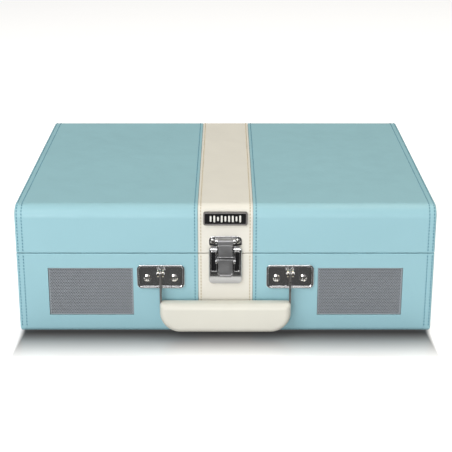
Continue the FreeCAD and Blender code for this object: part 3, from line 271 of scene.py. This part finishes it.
def cloth(name, color, pitch, depth=0.0001, fuzz=0.4):
    """Woven cloth or felt: two crossed sets of threads and loose fibres."""
    made = Finish(name, color, 0.9, Sheen_Weight=fuzz, Sheen_Roughness=0.5, Specular_IOR_Level=0.2)
    x, y, z = made.axes()
    turns = math.tau / pitch
    warp = made.math("SINE", made.math("MULTIPLY", made.math("ADD", x, z), turns))
    weft = made.math("SINE", made.math("MULTIPLY", made.math("SUBTRACT", y, z), turns))
    weave = made.math("MAXIMUM", warp, weft)
    fibres = made.noise(1500, 5, 0.7)
    made.tint(fibres, 0.6, 1.4)
    made.bump(weave, depth, 0.4)
    made.bump(fibres, depth, 0.6)
    return made.material


def wood(name, color, chips=False):
    """Planed softwood, or pressed board with chips."""
    made = Finish(name, color, 0.62)
    if chips:
        grain = made.cells(260, smooth=0.1)
    else:
        grain = made.noise(60, 6, 0.65, made.stretched((0.06, 1.0, 1.0)))
    made.tint(grain, 0.68, 1.2)
    made.gloss(grain, 0.55, 0.75)
    made.bump(grain, 0.00008, 0.5)
    return made.material


def pulp(name, color):
    """Felted paper of a speaker cone."""
    made = Finish(name, color, 0.85, Specular_IOR_Level=0.25)
    fibres = made.noise(900, 6, 0.7)
    made.tint(fibres, 0.6, 1.5)
    made.bump(fibres, 0.0001, 0.6)
    made.bump(made.noise(200, 2), 0.0002, 0.3)
    return made.material


def circuit(name, color):
    """Solder mask over copper tracks."""
    made = Finish(name, color, 0.3, Coat_Weight=0.4, Coat_Roughness=0.15)
    tracks = made.add("ShaderNodeTexBrick", offset=0.37, squash=0.6)
    tracks.inputs["Scale"].default_value = 120
    tracks.inputs["Mortar Size"].default_value = 0.03
    made.link(made.place, tracks.inputs["Vector"])
    made.tint(tracks.outputs["Fac"], 0.75, 1.5)
    made.bump(tracks.outputs["Fac"], 0.00004, 0.6)
    made.gloss(made.noise(140, 3), 0.25, 0.36)
    return made.material


def linear(red, green, blue):
    """An sRGB colour from 0 to 255 as the linear values that the shader takes."""
    parts = [value / 255 for value in (red, green, blue)]
    return tuple(part / 12.92 if part <= 0.04045 else ((part + 0.055) / 1.055) ** 2.4 for part in parts)


SPINDLE_LOW, SPINDLE_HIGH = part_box("spindle")
SPINDLE = ((SPINDLE_LOW.x + SPINDLE_HIGH.x) / 2, (SPINDLE_LOW.y + SPINDLE_HIGH.y) / 2)
VOLUME_LOW, VOLUME_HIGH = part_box("volume_knob")
VOLUME = ((VOLUME_LOW.x + VOLUME_HIGH.x) / 2, (VOLUME_LOW.y + VOLUME_HIGH.y) / 2)
SOURCE_LOW, SOURCE_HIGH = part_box("source_knob")
SOURCE = ((SOURCE_LOW.x + SOURCE_HIGH.x) / 2, (SOURCE_LOW.y + SOURCE_HIGH.y) / 2)

BLUE = linear(150, 193, 203)
CREAM = linear(225, 222, 212)

FINISHES = {
    # the last values darken the colour in the stitch grooves: painted shade
    "leatherette_blue": leatherette("leather_cloth_blue", BLUE, BLUE_LINES, (0.93, 0.95, 0.96)),
    "leatherette_cream": leatherette("leather_cloth_cream", CREAM, CREAM_LINES, (0.96, 0.94, 0.9)),
    "chrome": polished("chrome_plate", (0.83, 0.83, 0.84), 0.06),
    "screw_chrome": polished("screw_plate", (0.84, 0.82, 0.79), 0.1),
    "socket_metal": polished("socket_plate", (0.78, 0.75, 0.68), 0.16),
    "strap_steel": brushed("dark_strap", (0.3, 0.29, 0.28), 0.32),
    "frame_steel": brushed("pressed_steel", (0.5, 0.5, 0.51), 0.38),
    "pin_steel": brushed("pin_steel", (0.62, 0.62, 0.63), 0.24, (1.0, 1.0, 0.02)),
    "stay_brass": brushed("plated_brass", (0.74, 0.57, 0.3), 0.26),
    "bush_brass": turned("turned_brass", (0.75, 0.6, 0.33), 0.28, SPINDLE),
    "platter_metal": turned("spun_aluminium", (0.76, 0.76, 0.77), 0.3, SPINDLE, 0.0006),
    "arm_metal": polished("satin_arm", (0.78, 0.78, 0.79), 0.2),
    "knob_metal": turned("turned_knob", (0.68, 0.68, 0.69), 0.24, VOLUME, 0.0005),
    "motor_can": polished("plated_can", (0.55, 0.55, 0.56), 0.3),
    "grille_paint": painted("grille_grey", linear(142, 147, 153), 0.45, 700, 0.00002),
    "weight_metal": painted("weight_black", (0.03, 0.03, 0.032), 0.35),
    "deck_black": painted("deck_black", (0.022, 0.022, 0.024), 0.42, 900, 0.00004),
    "screw_black": painted("blackened_screw", (0.04, 0.04, 0.042), 0.4),
    "grip_cream": moulded("grip_cream", linear(217, 215, 204), 0.36, 900, 0.00002),
    "badge_black": moulded("badge_black", (0.012, 0.012, 0.013), 0.16, 500, 0.00001),
    "plastic_black": moulded("black_plastic", (0.018, 0.018, 0.019), 0.5),
    "shell_black": moulded("shell_black", (0.02, 0.02, 0.021), 0.42),
    "cartridge_red": moulded("cartridge_red", (0.42, 0.025, 0.02), 0.36),
    "adapter_plastic": moulded("adapter_plastic", (0.72, 0.68, 0.58), 0.42),
    "lamp_red": moulded("lamp_red", (0.55, 0.01, 0.008), 0.12, 300, 0.00001, 0.7),
    "rubber_black": moulded("foot_rubber", (0.02, 0.02, 0.02), 0.75, 1100, 0.00006, 0.3),
    "lining_cloth": cloth("lining_cloth", (0.02, 0.02, 0.022), 0.0009),
    "mat_felt": cloth("mat_felt", (0.028, 0.028, 0.031), 0.0014, 0.00016, 0.7),
    "case_wood": wood("pressed_board", (0.2, 0.14, 0.09), True),
    "batten_wood": wood("softwood", (0.42, 0.26, 0.13)),
    "cone_paper": pulp("cone_paper", (0.03, 0.03, 0.03)),
    "board_green": circuit("board_green", (0.02, 0.13, 0.045)),
}

for node in nodes.values():
    for slot in node.material_slots:
        slot.material = FINISHES[slot.material.name]

satin = painted("satin_nickel", (0.3, 0.3, 0.305), 0.38, 2600, 0.000012, 1.0)
for name in ("latch_hasp", "latch_lever"):
    nodes[name].material_slots[0].material = satin
for name in ("handle_plate_left", "handle_plate_right"):
    nodes[name].material_slots[0].material = eared(
        "plated_ears", (0.83, 0.83, 0.84), (1.0, 0.92, 0.74), 0.07, EAR_FRONT)
nodes["latch_backing"].material_slots[0].material = FINISHES["badge_black"]
nodes["latch_base_plate"].material_slots[0].material = polished("latch_plate", (0.62, 0.62, 0.625), 0.12)


# ---------------------------------------------------------------- pieces

class Shape:
    """Collects points and faces, then becomes one piece."""

    def __init__(self):
        self.points = []
        self.faces = []

    def ring(self, centre, side, up, sides, wide, high):
        first = len(self.points)
        for step in range(sides):
            turn = math.tau * step / sides
            self.points.append(centre + side * math.cos(turn) * wide + up * math.sin(turn) * high)
        return list(range(first, first + sides))

    def join(self, one, other):
        count = len(one)
        for step in range(count):
            following = (step + 1) % count
            self.faces.append((one[step], one[following], other[following], other[step]))

    def cap(self, ring, flip=False):
        self.faces.append(tuple(reversed(ring)) if flip else tuple(ring))

    def piece(self, name, body, material, slot, smooth=40):
        mesh = bpy.data.meshes.new(name)
        mesh.from_pydata([tuple(point) for point in self.points], [], self.faces)
        mesh.update()
        made = bpy.data.objects.new(name, mesh)
        bpy.context.scene.collection.objects.link(made)
        mesh.materials.append(material)
        mesh.shade_smooth()
        mesh.set_sharp_from_angle(angle=math.radians(smooth))
        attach(made, body)
        return made


def lid_outline(run):
    """Point, direction and outward normal on the lid, a distance along its front, top and back."""
    rise = TOP - EDGE_ROUND - LID_LOW.z
    arc = EDGE_ROUND * math.pi / 2
    across = REAR - FRONT - 2 * EDGE_ROUND
    if run < rise:
        return (FRONT, LID_LOW.z + run), (0, 1), (-1, 0)
    run -= rise
    if run < arc:
        turn = run / EDGE_ROUND
        centre = (FRONT + EDGE_ROUND, TOP - EDGE_ROUND)
        normal = (-math.cos(turn), math.sin(turn))
        return (centre[0] + normal[0] * EDGE_ROUND, centre[1] + normal[1] * EDGE_ROUND), (
            math.sin(turn), math.cos(turn)), normal
    run -= arc
    if run < across:
        return (FRONT + EDGE_ROUND + run, TOP), (1, 0), (0, 1)
    run -= across
    if run < arc:
        turn = run / EDGE_ROUND
        centre = (REAR - EDGE_ROUND, TOP - EDGE_ROUND)
        normal = (math.sin(turn), math.cos(turn))
        return (centre[0] + normal[0] * EDGE_ROUND, centre[1] + normal[1] * EDGE_ROUND), (
            math.cos(turn), -math.sin(turn)), normal
    run -= arc
    return (REAR, TOP - EDGE_ROUND - run), (0, -1), (1, 0)


def base_outline(run):
    """The same for the front and back of the base, one after the other."""
    rise = BASE_HIGH.z - BASE_LOW.z
    if run < rise:
        return (FRONT, BASE_LOW.z + run), (0, 1), (-1, 0)
    return (REAR, BASE_HIGH.z - (run - rise)), (0, -1), (1, 0)


def stitch_row(shape, outline, x, start, end, pitch):
    """A row of stitches, each a short thread that dives into the cloth at both ends."""
    count = round((end - start) / pitch)
    side = Vector((1, 0, 0))
    for number in range(count):
        middle = start + (number + 0.5) * (end - start) / count
        spot, along, out = outline(middle)
        centre = Vector((x, *spot))
        normal = Vector((0, *out))
        forward = (Vector((0, *along)) + side * 0.1 * (1 if x > 0 else -1)).normalized()
        rings = []
        for share, lift, thick in ((-0.5, -0.0002, 0.6), (-0.36, 0.00006, 1), (0, 0.00016, 1.1),
                                   (0.36, 0.00006, 1), (0.5, -0.0002, 0.6)):
            spine = centre + forward * share * pitch * 0.62 + normal * lift
            width = 0.00036 * thick
            rings.append(shape.ring(spine, side, normal, 6, width, width * 0.85))
        for one, other in zip(rings, rings[1:]):
            shape.join(one, other)
        shape.cap(rings[0], True)
        shape.cap(rings[-1])


def thread(name, color):
    """Twisted sewing thread."""
    made = Finish(name, color, 0.6, Sheen_Weight=0.25, Sheen_Roughness=0.5)
    twist = made.noise(2500, 3)
    made.tint(twist, 0.8, 1.15)
    made.bump(twist, 0.00005, 0.5)
    return made.material


def make_stitches():
    lid_end = 2 * (TOP - EDGE_ROUND - LID_LOW.z) + EDGE_ROUND * math.pi + REAR - FRONT - 2 * EDGE_ROUND
    base_rise = BASE_HIGH.z - BASE_LOW.z
    blue = thread("thread_blue", linear(72, 130, 152))
    cream = thread("thread_cream", linear(190, 176, 148))
    rows = (("blue", BLUE_LINES, blue), ("cream", CREAM_LINES, cream))
    for color, lines, material in rows:
        lid, base = Shape(), Shape()
        for line in lines:
            for x in (-line, line):
                stitch_row(lid, lid_outline, x, ROW_END, lid_end - ROW_END, STITCH_PITCH)
                stitch_row(base, base_outline, x, FOOT_END, base_rise - ROW_END, STITCH_PITCH)
                back_start, back_end = base_rise + ROW_END, 2 * base_rise - FOOT_END
                stitch_row(base, base_outline, x, back_start, back_end, STITCH_PITCH)
        lid.piece(f"lid_stitches_{color}", "lid", material, f"leatherette_{color}")
        base.piece(f"base_stitches_{color}", "base", material, f"leatherette_{color}")


def make_grilles():
    """Both speaker grilles as perforated sheet, in place of the plain CAD plates."""
    low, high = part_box("speaker_grilles")
    cones_low, cones_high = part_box("speaker_cones")
    reach = high.x - (cones_high.x - (cones_high.z - cones_low.z) / 2)
    middle = high.x - reach
    columns, rows = 48, 31
    margin = 0.9 * MM
    pitch = 2 * (reach - margin) / (columns + 0.5)
    step = (high.z - low.z - 2 * margin) / rows
    radius = 0.5 * MM
    front, back = low.y, low.y + 0.7 * MM
    shape = Shape()

    def sheet_quad(x_low, x_high, z_low, z_high):
        corners = [(x_low, z_low), (x_high, z_low), (x_high, z_high), (x_low, z_high)]
        first = len(shape.points)
        shape.points += [Vector((x, front, z)) for x, z in corners]
        shape.faces.append(tuple(range(first, first + 4)))

    def cell(x, z):
        first = len(shape.points)
        half_wide, half_high = pitch / 2, step / 2
        outline = [(half_wide, 0), (half_wide, half_high), (0, half_high), (-half_wide, half_high),
                   (-half_wide, 0), (-half_wide, -half_high), (0, -half_high), (half_wide, -half_high)]
        for number, (across, up) in enumerate(outline):
            turn = math.tau * number / 8
            edge = (x + radius * math.cos(turn), z + radius * math.sin(turn))
            shape.points += [Vector((x + across, front, z + up)), Vector((edge[0], front, edge[1])),
                             Vector((edge[0], back, edge[1]))]
        for number in range(8):
            here, there = first + 3 * number, first + 3 * ((number + 1) % 8)
            shape.faces.append((here, here + 1, there + 1, there))
            shape.faces.append((here + 1, here + 2, there + 2, there + 1))

    for side in (-1, 1):
        centre = side * middle
        left, right = centre - reach, centre + reach
        inner_left, inner_right = left + margin, right - margin
        bottom, top = low.z + margin, high.z - margin
        sheet_quad(left, right, low.z, bottom)
        sheet_quad(left, right, top, high.z)
        sheet_quad(left, inner_left, bottom, top)
        sheet_quad(inner_right, right, bottom, top)
        for row in range(rows):
            shift = pitch / 2 * (row % 2)
            z = bottom + (row + 0.5) * step
            for column in range(columns):
                cell(inner_left + (column + 0.5) * pitch + shift, z)
            if row % 2:
                sheet_quad(inner_left, inner_left + pitch / 2, z - step / 2, z + step / 2)
            else:
                sheet_quad(inner_right - pitch / 2, inner_right, z - step / 2, z + step / 2)
    made = shape.piece("perforated_grilles", "base", FINISHES["grille_paint"], "grille_paint")
    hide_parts("speaker_grilles")
    cover = Shape()
    for side in (-1, 1):
        spot = Vector((side * middle, 0, (low.z + high.z) / 2))
        steps = ((0, back), (0, back + 0.15 * MM), (2 * MM, back + 0.3 * MM))
        loops = [rounded_loop(spot, 2 * reach - inset, high.z - low.z - inset, 1 * MM, y)
                 for inset, y in steps]
        loft(cover, loops, close_last=True)
        loft(cover, [rounded_loop(spot, 2 * reach - 0.2 * MM, high.z - low.z - 0.2 * MM, 1 * MM, back)],
             close_first=True)
    weave = cloth("grille_cloth", (0.012, 0.012, 0.013), 0.0006)
    cover.piece("grille_cloth", "base", weave, "lining_cloth")


def rounded_loop(centre, wide, high, radius, y, corner=6):
    """Points of an upright rounded rectangle that faces the front."""
    points = []
    for quarter, (side, up) in enumerate(((1, 1), (-1, 1), (-1, -1), (1, -1))):
        for step in range(corner + 1):
            turn = math.pi / 2 * (quarter + step / corner)
            x = centre.x + side * (wide / 2 - radius) + radius * math.cos(turn)
            z = centre.z + up * (high / 2 - radius) + radius * math.sin(turn)
            points.append(Vector((x, y, z)))
    return points


def loft(shape, loops, close_first=False, close_last=False):
    """Joins loops that have the same number of points."""
    rings = []
    for loop in loops:
        first = len(shape.points)
        shape.points += loop
        rings.append(list(range(first, first + len(loop))))
    for one, other in zip(rings, rings[1:]):
        shape.join(one, other)
    if close_first:
        shape.cap(rings[0], True)
    if close_last:
        shape.cap(rings[-1])


def make_badge():
    """The raised edge of the badge and a plain row of level bars where the real one has its name."""
    low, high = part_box("badge")
    centre = (low + high) / 2
    wide, tall, face = high.x - low.x, high.z - low.z, low.y
    edge = Shape()
    profile = (
        (0.02 * MM, -0.6 * MM), (0.05 * MM, 0.2 * MM), (0.25 * MM, 0.4 * MM), (1.0 * MM, 0.4 * MM),
        (1.25 * MM, 0.2 * MM), (1.3 * MM, -0.3 * MM),
    )
    loft(edge, [rounded_loop(centre, wide - 2 * inset, tall - 2 * inset, 1.9 * MM - inset, face - lift)
                for inset, lift in profile])
    grey = moulded("badge_grey", linear(112, 108, 107), 0.3, 700, 0.00001)
    edge.piece("badge_edge", "lid", grey, "badge_black", 50)
    bars = Shape()
    count, spacing, thick = 9, 3.1 * MM, 1.5 * MM
    for number in range(count):
        x = centre.x + (number - (count - 1) / 2) * spacing
        length = (2.6 + 2.3 * abs(math.sin(number * 1.3 + 0.6))) * MM + 1.2 * MM
        spot = Vector((x, 0, centre.z))
        corner, soft = thick * 0.49, 0.1 * MM
        loft(bars, [
            rounded_loop(spot, thick, length, corner, face + 0.2 * MM),
            rounded_loop(spot, thick, length, corner, face - 0.12 * MM),
            rounded_loop(spot, thick - 2 * soft, length - 2 * soft, corner - soft, face - 0.2 * MM),
        ], close_last=True)
    white = moulded("badge_white", linear(225, 224, 218), 0.3, 900, 0.00001)
    bars.piece("badge_bars", "lid", white, "badge_black", 50)


def bead(shape, centre, wide, high, radius, y, thick, corner=6):
    """A round wire bent into an upright rounded rectangle."""
    spine = rounded_loop(centre, wide, high, radius, y, corner)
    back = Vector((0, 1, 0))
    rings = []
    for place, spot in enumerate(spine):
        along = (spine[(place + 1) % len(spine)] - spine[place - 1]).normalized()
        rings.append(shape.ring(spot, along.cross(back), back, 8, thick, thick))
    for place, one in enumerate(rings):
        shape.join(one, rings[(place + 1) % len(rings)])


def slab(shape, low, high, radius):
    """A thin upright plate with rounded corners and a softened front edge."""
    centre = Vector(((low[0] + high[0]) / 2, 0, (low[2] + high[2]) / 2))
    wide, tall = high[0] - low[0], high[2] - low[2]
    soft = 0.15 * MM
    loft(shape, [rounded_loop(centre, wide, tall, radius, high[1]),
                 rounded_loop(centre, wide, tall, radius, low[1] + soft),
                 rounded_loop(centre, wide - 2 * soft, tall - 2 * soft, radius - soft, low[1])],
         close_first=True, close_last=True)


def make_latch_trim():
    """Rolled edges of the latch's openings and links, and dark sheets of painted shade behind them and
    in the gap under the keeper.
    """
    low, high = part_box("latch_base_plate")
    lid_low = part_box("latch_top_plate")[0]
    shine = polished("latch_bead", (0.8, 0.8, 0.81), 0.14)
    # black for the sheets of painted shade below
    dark = moulded("latch_shadow", (0.012, 0.012, 0.013), 0.4, 500, 0.00001)
    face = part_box("latch_hasp")[0].y + 0.1 * MM
    rims = Shape()
    bottom, top = low.z + 11.9 * MM, high.z - 4.2 * MM
    for side in (-1, 1):
        centre = Vector((side * 9.75 * MM, 0, (bottom + top) / 2))
        bead(rims, centre, 4.6 * MM, top - bottom, 0.9 * MM, FRONT - 3.5 * MM, 0.45 * MM)
    rims.piece("latch_window_rims", "base", shine, "chrome")
    for name, body in (("latch_hasp", "hasp"), ("latch_lever", "lever")):
        box_low, box_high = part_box(name)
        edge = Shape()
        top_edge = box_high.z - (5.4 * MM if body == "hasp" else 0.3 * MM)
        bottom_edge = box_low.z + (0.35 * MM if body == "hasp" else 2.2 * MM)
        centre = Vector((0, 0, (top_edge + bottom_edge) / 2))
        across = box_high.x - box_low.x - 0.7 * MM
        bead(edge, centre, across, top_edge - bottom_edge, 1.2 * MM, face, 0.32 * MM)
        edge.piece(f"{name}_rim", body, shine, "chrome")
    # painted shade: a black sheet filling the gap between the catch plate and the keeper
    gap_shade = Shape()
    slab(gap_shade, (low.x + 0.6 * MM, FRONT - 1.3 * MM, high.z + 0.25 * MM),
         (high.x - 0.6 * MM, FRONT + 0.2 * MM, lid_low.z + 1.5 * MM), 0.6 * MM)
    gap_shade.piece("keeper_gap_painted_shade", "lid", dark, "badge_black")
    # painted shade: a black sheet behind the hasp and the windows
    window_shade = Shape()
    slab(window_shade, (-8.2 * MM, FRONT - 1.3 * MM, BASE_HIGH.z + 0.2 * MM),
         (8.2 * MM, FRONT - 0.5 * MM, high.z - 0.2 * MM), 0.6 * MM)
    window_shade.piece("latch_painted_shade", "base", dark, "badge_black")


def printed(shape, outline, z, thick=0.06 * MM):
    """A flat mark with a little thickness: the print on the deck."""
    loft(shape, [[Vector((x, y, height)) for x, y in outline] for height in (z - thick, z + thick)],
         close_first=True, close_last=True)


def ticks(shape, centre, z, inner, outer, angles, wide=0.35 * MM):
    """Scale marks around a knob, seen from above and counted from the rear."""
    for angle in angles:
        turn = math.radians(angle)
        out = Vector((math.sin(turn), math.cos(turn)))
        side = Vector((out.y, -out.x)) * wide / 2
        spot = Vector(centre)
        printed(shape, [spot + out * inner - side, spot + out * outer - side, spot + out * outer + side,
                        spot + out * inner + side], z)


STROKES = {"3": "abcdg", "4": "bcfg", "5": "acdfg", "7": "abc", "8": "abcdefg"}
SEGMENTS = {
    "a": (0, 2, 1, 2), "b": (1, 1, 1, 2), "c": (1, 0, 1, 1), "d": (0, 0, 1, 0), "e": (0, 0, 0, 1),
    "f": (0, 1, 0, 2), "g": (0, 1, 1, 1),
}


def number(shape, text, x, y, z, tall=2.2 * MM):
    """Plain stroke numerals, centred on a spot."""
    wide, thick = tall * 0.5, tall * 0.07
    start = x - (len(text) * wide * 1.7 - wide * 0.7) / 2
    for place, digit in enumerate(text):
        left = start + place * wide * 1.7
        for segment in STROKES[digit]:
            x0, y0, x1, y1 = SEGMENTS[segment]
            box = (left + x0 * wide - thick, y + (y0 - 1) * tall / 2 - thick,
                   left + x1 * wide + thick, y + (y1 - 1) * tall / 2 + thick)
            printed(shape, [(box[0], box[1]), (box[2], box[1]), (box[2], box[3]), (box[0], box[3])], z)


def make_deck_print():
    """Scales and plain numerals printed beside the knobs and the speed switch."""
    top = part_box("deck_plate")[1].z
    marks = Shape()
    volume_reach = (VOLUME_HIGH.x - VOLUME_LOW.x) / 2
    ticks(marks, VOLUME, top, volume_reach + 1.2 * MM, volume_reach + 2.6 * MM, range(-140, 141, 28))
    source_reach = (SOURCE_HIGH.x - SOURCE_LOW.x) / 2
    ticks(marks, SOURCE, top, source_reach + 1.2 * MM, source_reach + 2.8 * MM, (-45, 0, 45))
    low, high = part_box("speed_switch")
    travel = 8 * MM
    for place, text in enumerate(("33", "45", "78")):
        number(marks, text, high.x + 5 * MM, (low.y + high.y) / 2 + place * travel / 2, top)
    ink = moulded("deck_ink", (0.75, 0.75, 0.72), 0.5, 900, 0.00001)
    marks.piece("deck_print", "base", ink, "deck_black", 30)


def make_leads():
    """The four fine leads between the arm tube and the cartridge."""
    low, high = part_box("cartridge")
    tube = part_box("arm_tube")[0]
    colors = {
        "red": (0.45, 0.02, 0.02), "white": (0.75, 0.75, 0.72),
        "blue": (0.02, 0.06, 0.4), "green": (0.02, 0.25, 0.06),
    }
    middle = (low.x + high.x) / 2
    pin_gap, tube_gap = 1.5 * MM, 0.5 * MM
    for place, (name, color) in enumerate(colors.items()):
        lead = Shape()
        x = middle + (place - 1.5) * pin_gap
        start = Vector((x, high.y - 0.4 * MM, (low.z + high.z) / 2 + 0.6 * MM))
        end = Vector((middle + (place - 1.5) * tube_gap, tube.y + 1.5 * MM, start.z + 2.2 * MM))
        rings = []
        for step in range(13):
            share = step / 12
            spot = start.lerp(end, share) + Vector((0, 0, -1.0 * MM * math.sin(math.pi * share)))
            rings.append(lead.ring(spot, Vector((1, 0, 0)), Vector((0, 0, 1)), 8, 0.22 * MM, 0.22 * MM))
        for one, other in zip(rings, rings[1:]):
            lead.join(one, other)
        lead.cap(rings[0], True)
        lead.cap(rings[-1])
        lead.piece(f"lead_{name}", "arm", moulded(f"lead_{name}", color, 0.45), "cartridge_red")


make_stitches()
make_grilles()
make_badge()
make_latch_trim()
make_deck_print()
make_leads()


# ---------------------------------------------------------------- stage, light and camera

def studio_floor():
    """A pale floor with a soft polish and a faint glow, and a painted contact shadow in front of the
    case.
    """
    bpy.ops.mesh.primitive_plane_add(size=12, location=(0, 0, 0))
    floor = bpy.context.object
    floor.name = "studio_floor"
    made = Finish("studio_white_painted_shadow", (0.9, 0.9, 0.9), 0.12, Specular_IOR_Level=0.5)
    x, y, _ = made.axes()
    # painted shadow: the floor's colour, and the glow that takes it, darken in a strip along the front
    # of the case and under it
    ahead = made.math("SUBTRACT", FRONT + 0.004, y)
    shadow_falloff = made.span(ahead, -0.004, 0.074, 0, 1)
    beside = made.span(made.math("ABSOLUTE", x), HALF - 0.004, HALF + 0.003, 0, 1)
    behind = made.span(ahead, -0.03, 0.0, 1, 0)
    unshadowed_floor = made.math("MAXIMUM", made.math("MAXIMUM", shadow_falloff, beside), behind)
    ramp = made.add("ShaderNodeValToRGB")
    ramp.color_ramp.elements[0].color = (0.05, 0.05, 0.05, 1)
    ramp.color_ramp.elements[1].color = (0.92, 0.92, 0.92, 1)
    made.link(unshadowed_floor, ramp.inputs["Fac"])
    made.link(ramp.outputs["Color"], made.shader.inputs["Base Color"])
    made.link(ramp.outputs["Color"], made.shader.inputs["Emission Color"])
    ray = made.add("ShaderNodeLightPath")
    glow = made.add("ShaderNodeMapRange")
    made.link(ray.outputs["Is Camera Ray"], glow.inputs["Value"])
    glow.inputs["To Min"].default_value = 0.12
    glow.inputs["To Max"].default_value = 0.6
    made.link(glow.outputs["Result"], made.shader.inputs["Emission Strength"])
    floor.data.materials.append(made.material)


def dark_card():
    """A black card on the floor that only shows in the chrome, as a dark studio would."""
    bpy.ops.mesh.primitive_plane_add(size=1, location=(0, FRONT - 1.33, 0.002))
    card = bpy.context.object
    card.name = "dark_card"
    card.scale = (3, 2.5, 1)
    made = Finish("card_black", (0.02, 0.02, 0.02), 0.9)
    card.data.materials.append(made.material)
    for ray in ("camera", "diffuse", "transmission", "volume_scatter", "shadow"):
        setattr(card, f"visible_{ray}", False)


def softbox(name, place, aim, size, power, color=(1, 1, 1)):
    data = bpy.data.lights.new(name, "AREA")
    data.shape = "RECTANGLE"
    data.size, data.size_y = size
    data.energy = power
    data.color = color
    light = bpy.data.objects.new(name, data)
    bpy.context.scene.collection.objects.link(light)
    light.location = place
    light.rotation_euler = (Vector(aim) - Vector(place)).to_track_quat("-Z", "Y").to_euler()


def studio_light():
    world = bpy.data.worlds.new("studio")
    bpy.context.scene.world = world
    world.use_nodes = True
    tree = world.node_tree
    ground = tree.nodes["Background"]
    path = tree.nodes.new("ShaderNodeLightPath")
    place = tree.nodes.new("ShaderNodeTexCoord")
    split = tree.nodes.new("ShaderNodeSeparateXYZ")
    ramp = tree.nodes.new("ShaderNodeValToRGB")
    ramp.color_ramp.elements[0].position = 0.05
    ramp.color_ramp.elements[0].color = (0.12, 0.12, 0.125, 1)
    ramp.color_ramp.elements[1].position = 0.7
    ramp.color_ramp.elements[1].color = (0.8, 0.8, 0.82, 1)
    mix = tree.nodes.new("ShaderNodeMix")
    mix.data_type = "RGBA"
    mix.inputs["B"].default_value = (1, 1, 1, 1)
    tree.links.new(place.outputs["Generated"], split.inputs["Vector"])
    tree.links.new(split.outputs["Z"], ramp.inputs["Fac"])
    tree.links.new(path.outputs["Is Camera Ray"], mix.inputs["Factor"])
    tree.links.new(ramp.outputs["Color"], mix.inputs["A"])
    tree.links.new(mix.outputs["Result"], ground.inputs["Color"])
    ground.inputs["Strength"].default_value = 0.45

    softbox("key", (-1.1, -1.6, 1.8), (0, 0, 0.05), (1.4, 1.1), 30)
    softbox("front", (-0.3, -2.6, 0.45), (0, 0, 0.05), (1.6, 0.7), 26)
    softbox("overhead", (0.7, 0.2, 2.2), (0, 0, 0.05), (2.0, 1.6), 24, (1.0, 0.93, 0.76))


def camera():
    data = bpy.data.cameras.new("camera")
    data.lens = 94.99
    data.sensor_width = 36
    data.shift_y = -0.1
    data.clip_start, data.clip_end = 0.05, 50
    view = bpy.data.objects.new("camera", data)
    bpy.context.scene.collection.objects.link(view)
    view.location = (0.0005, -1.0689, 0.4527)
    view.rotation_euler = (math.radians(71.61), 0, 0)
    bpy.context.scene.camera = view


studio_floor()
dark_card()
studio_light()
camera()

bpy.context.scene.view_settings.view_transform = "Standard"
bpy.context.scene.view_settings.look = "None"
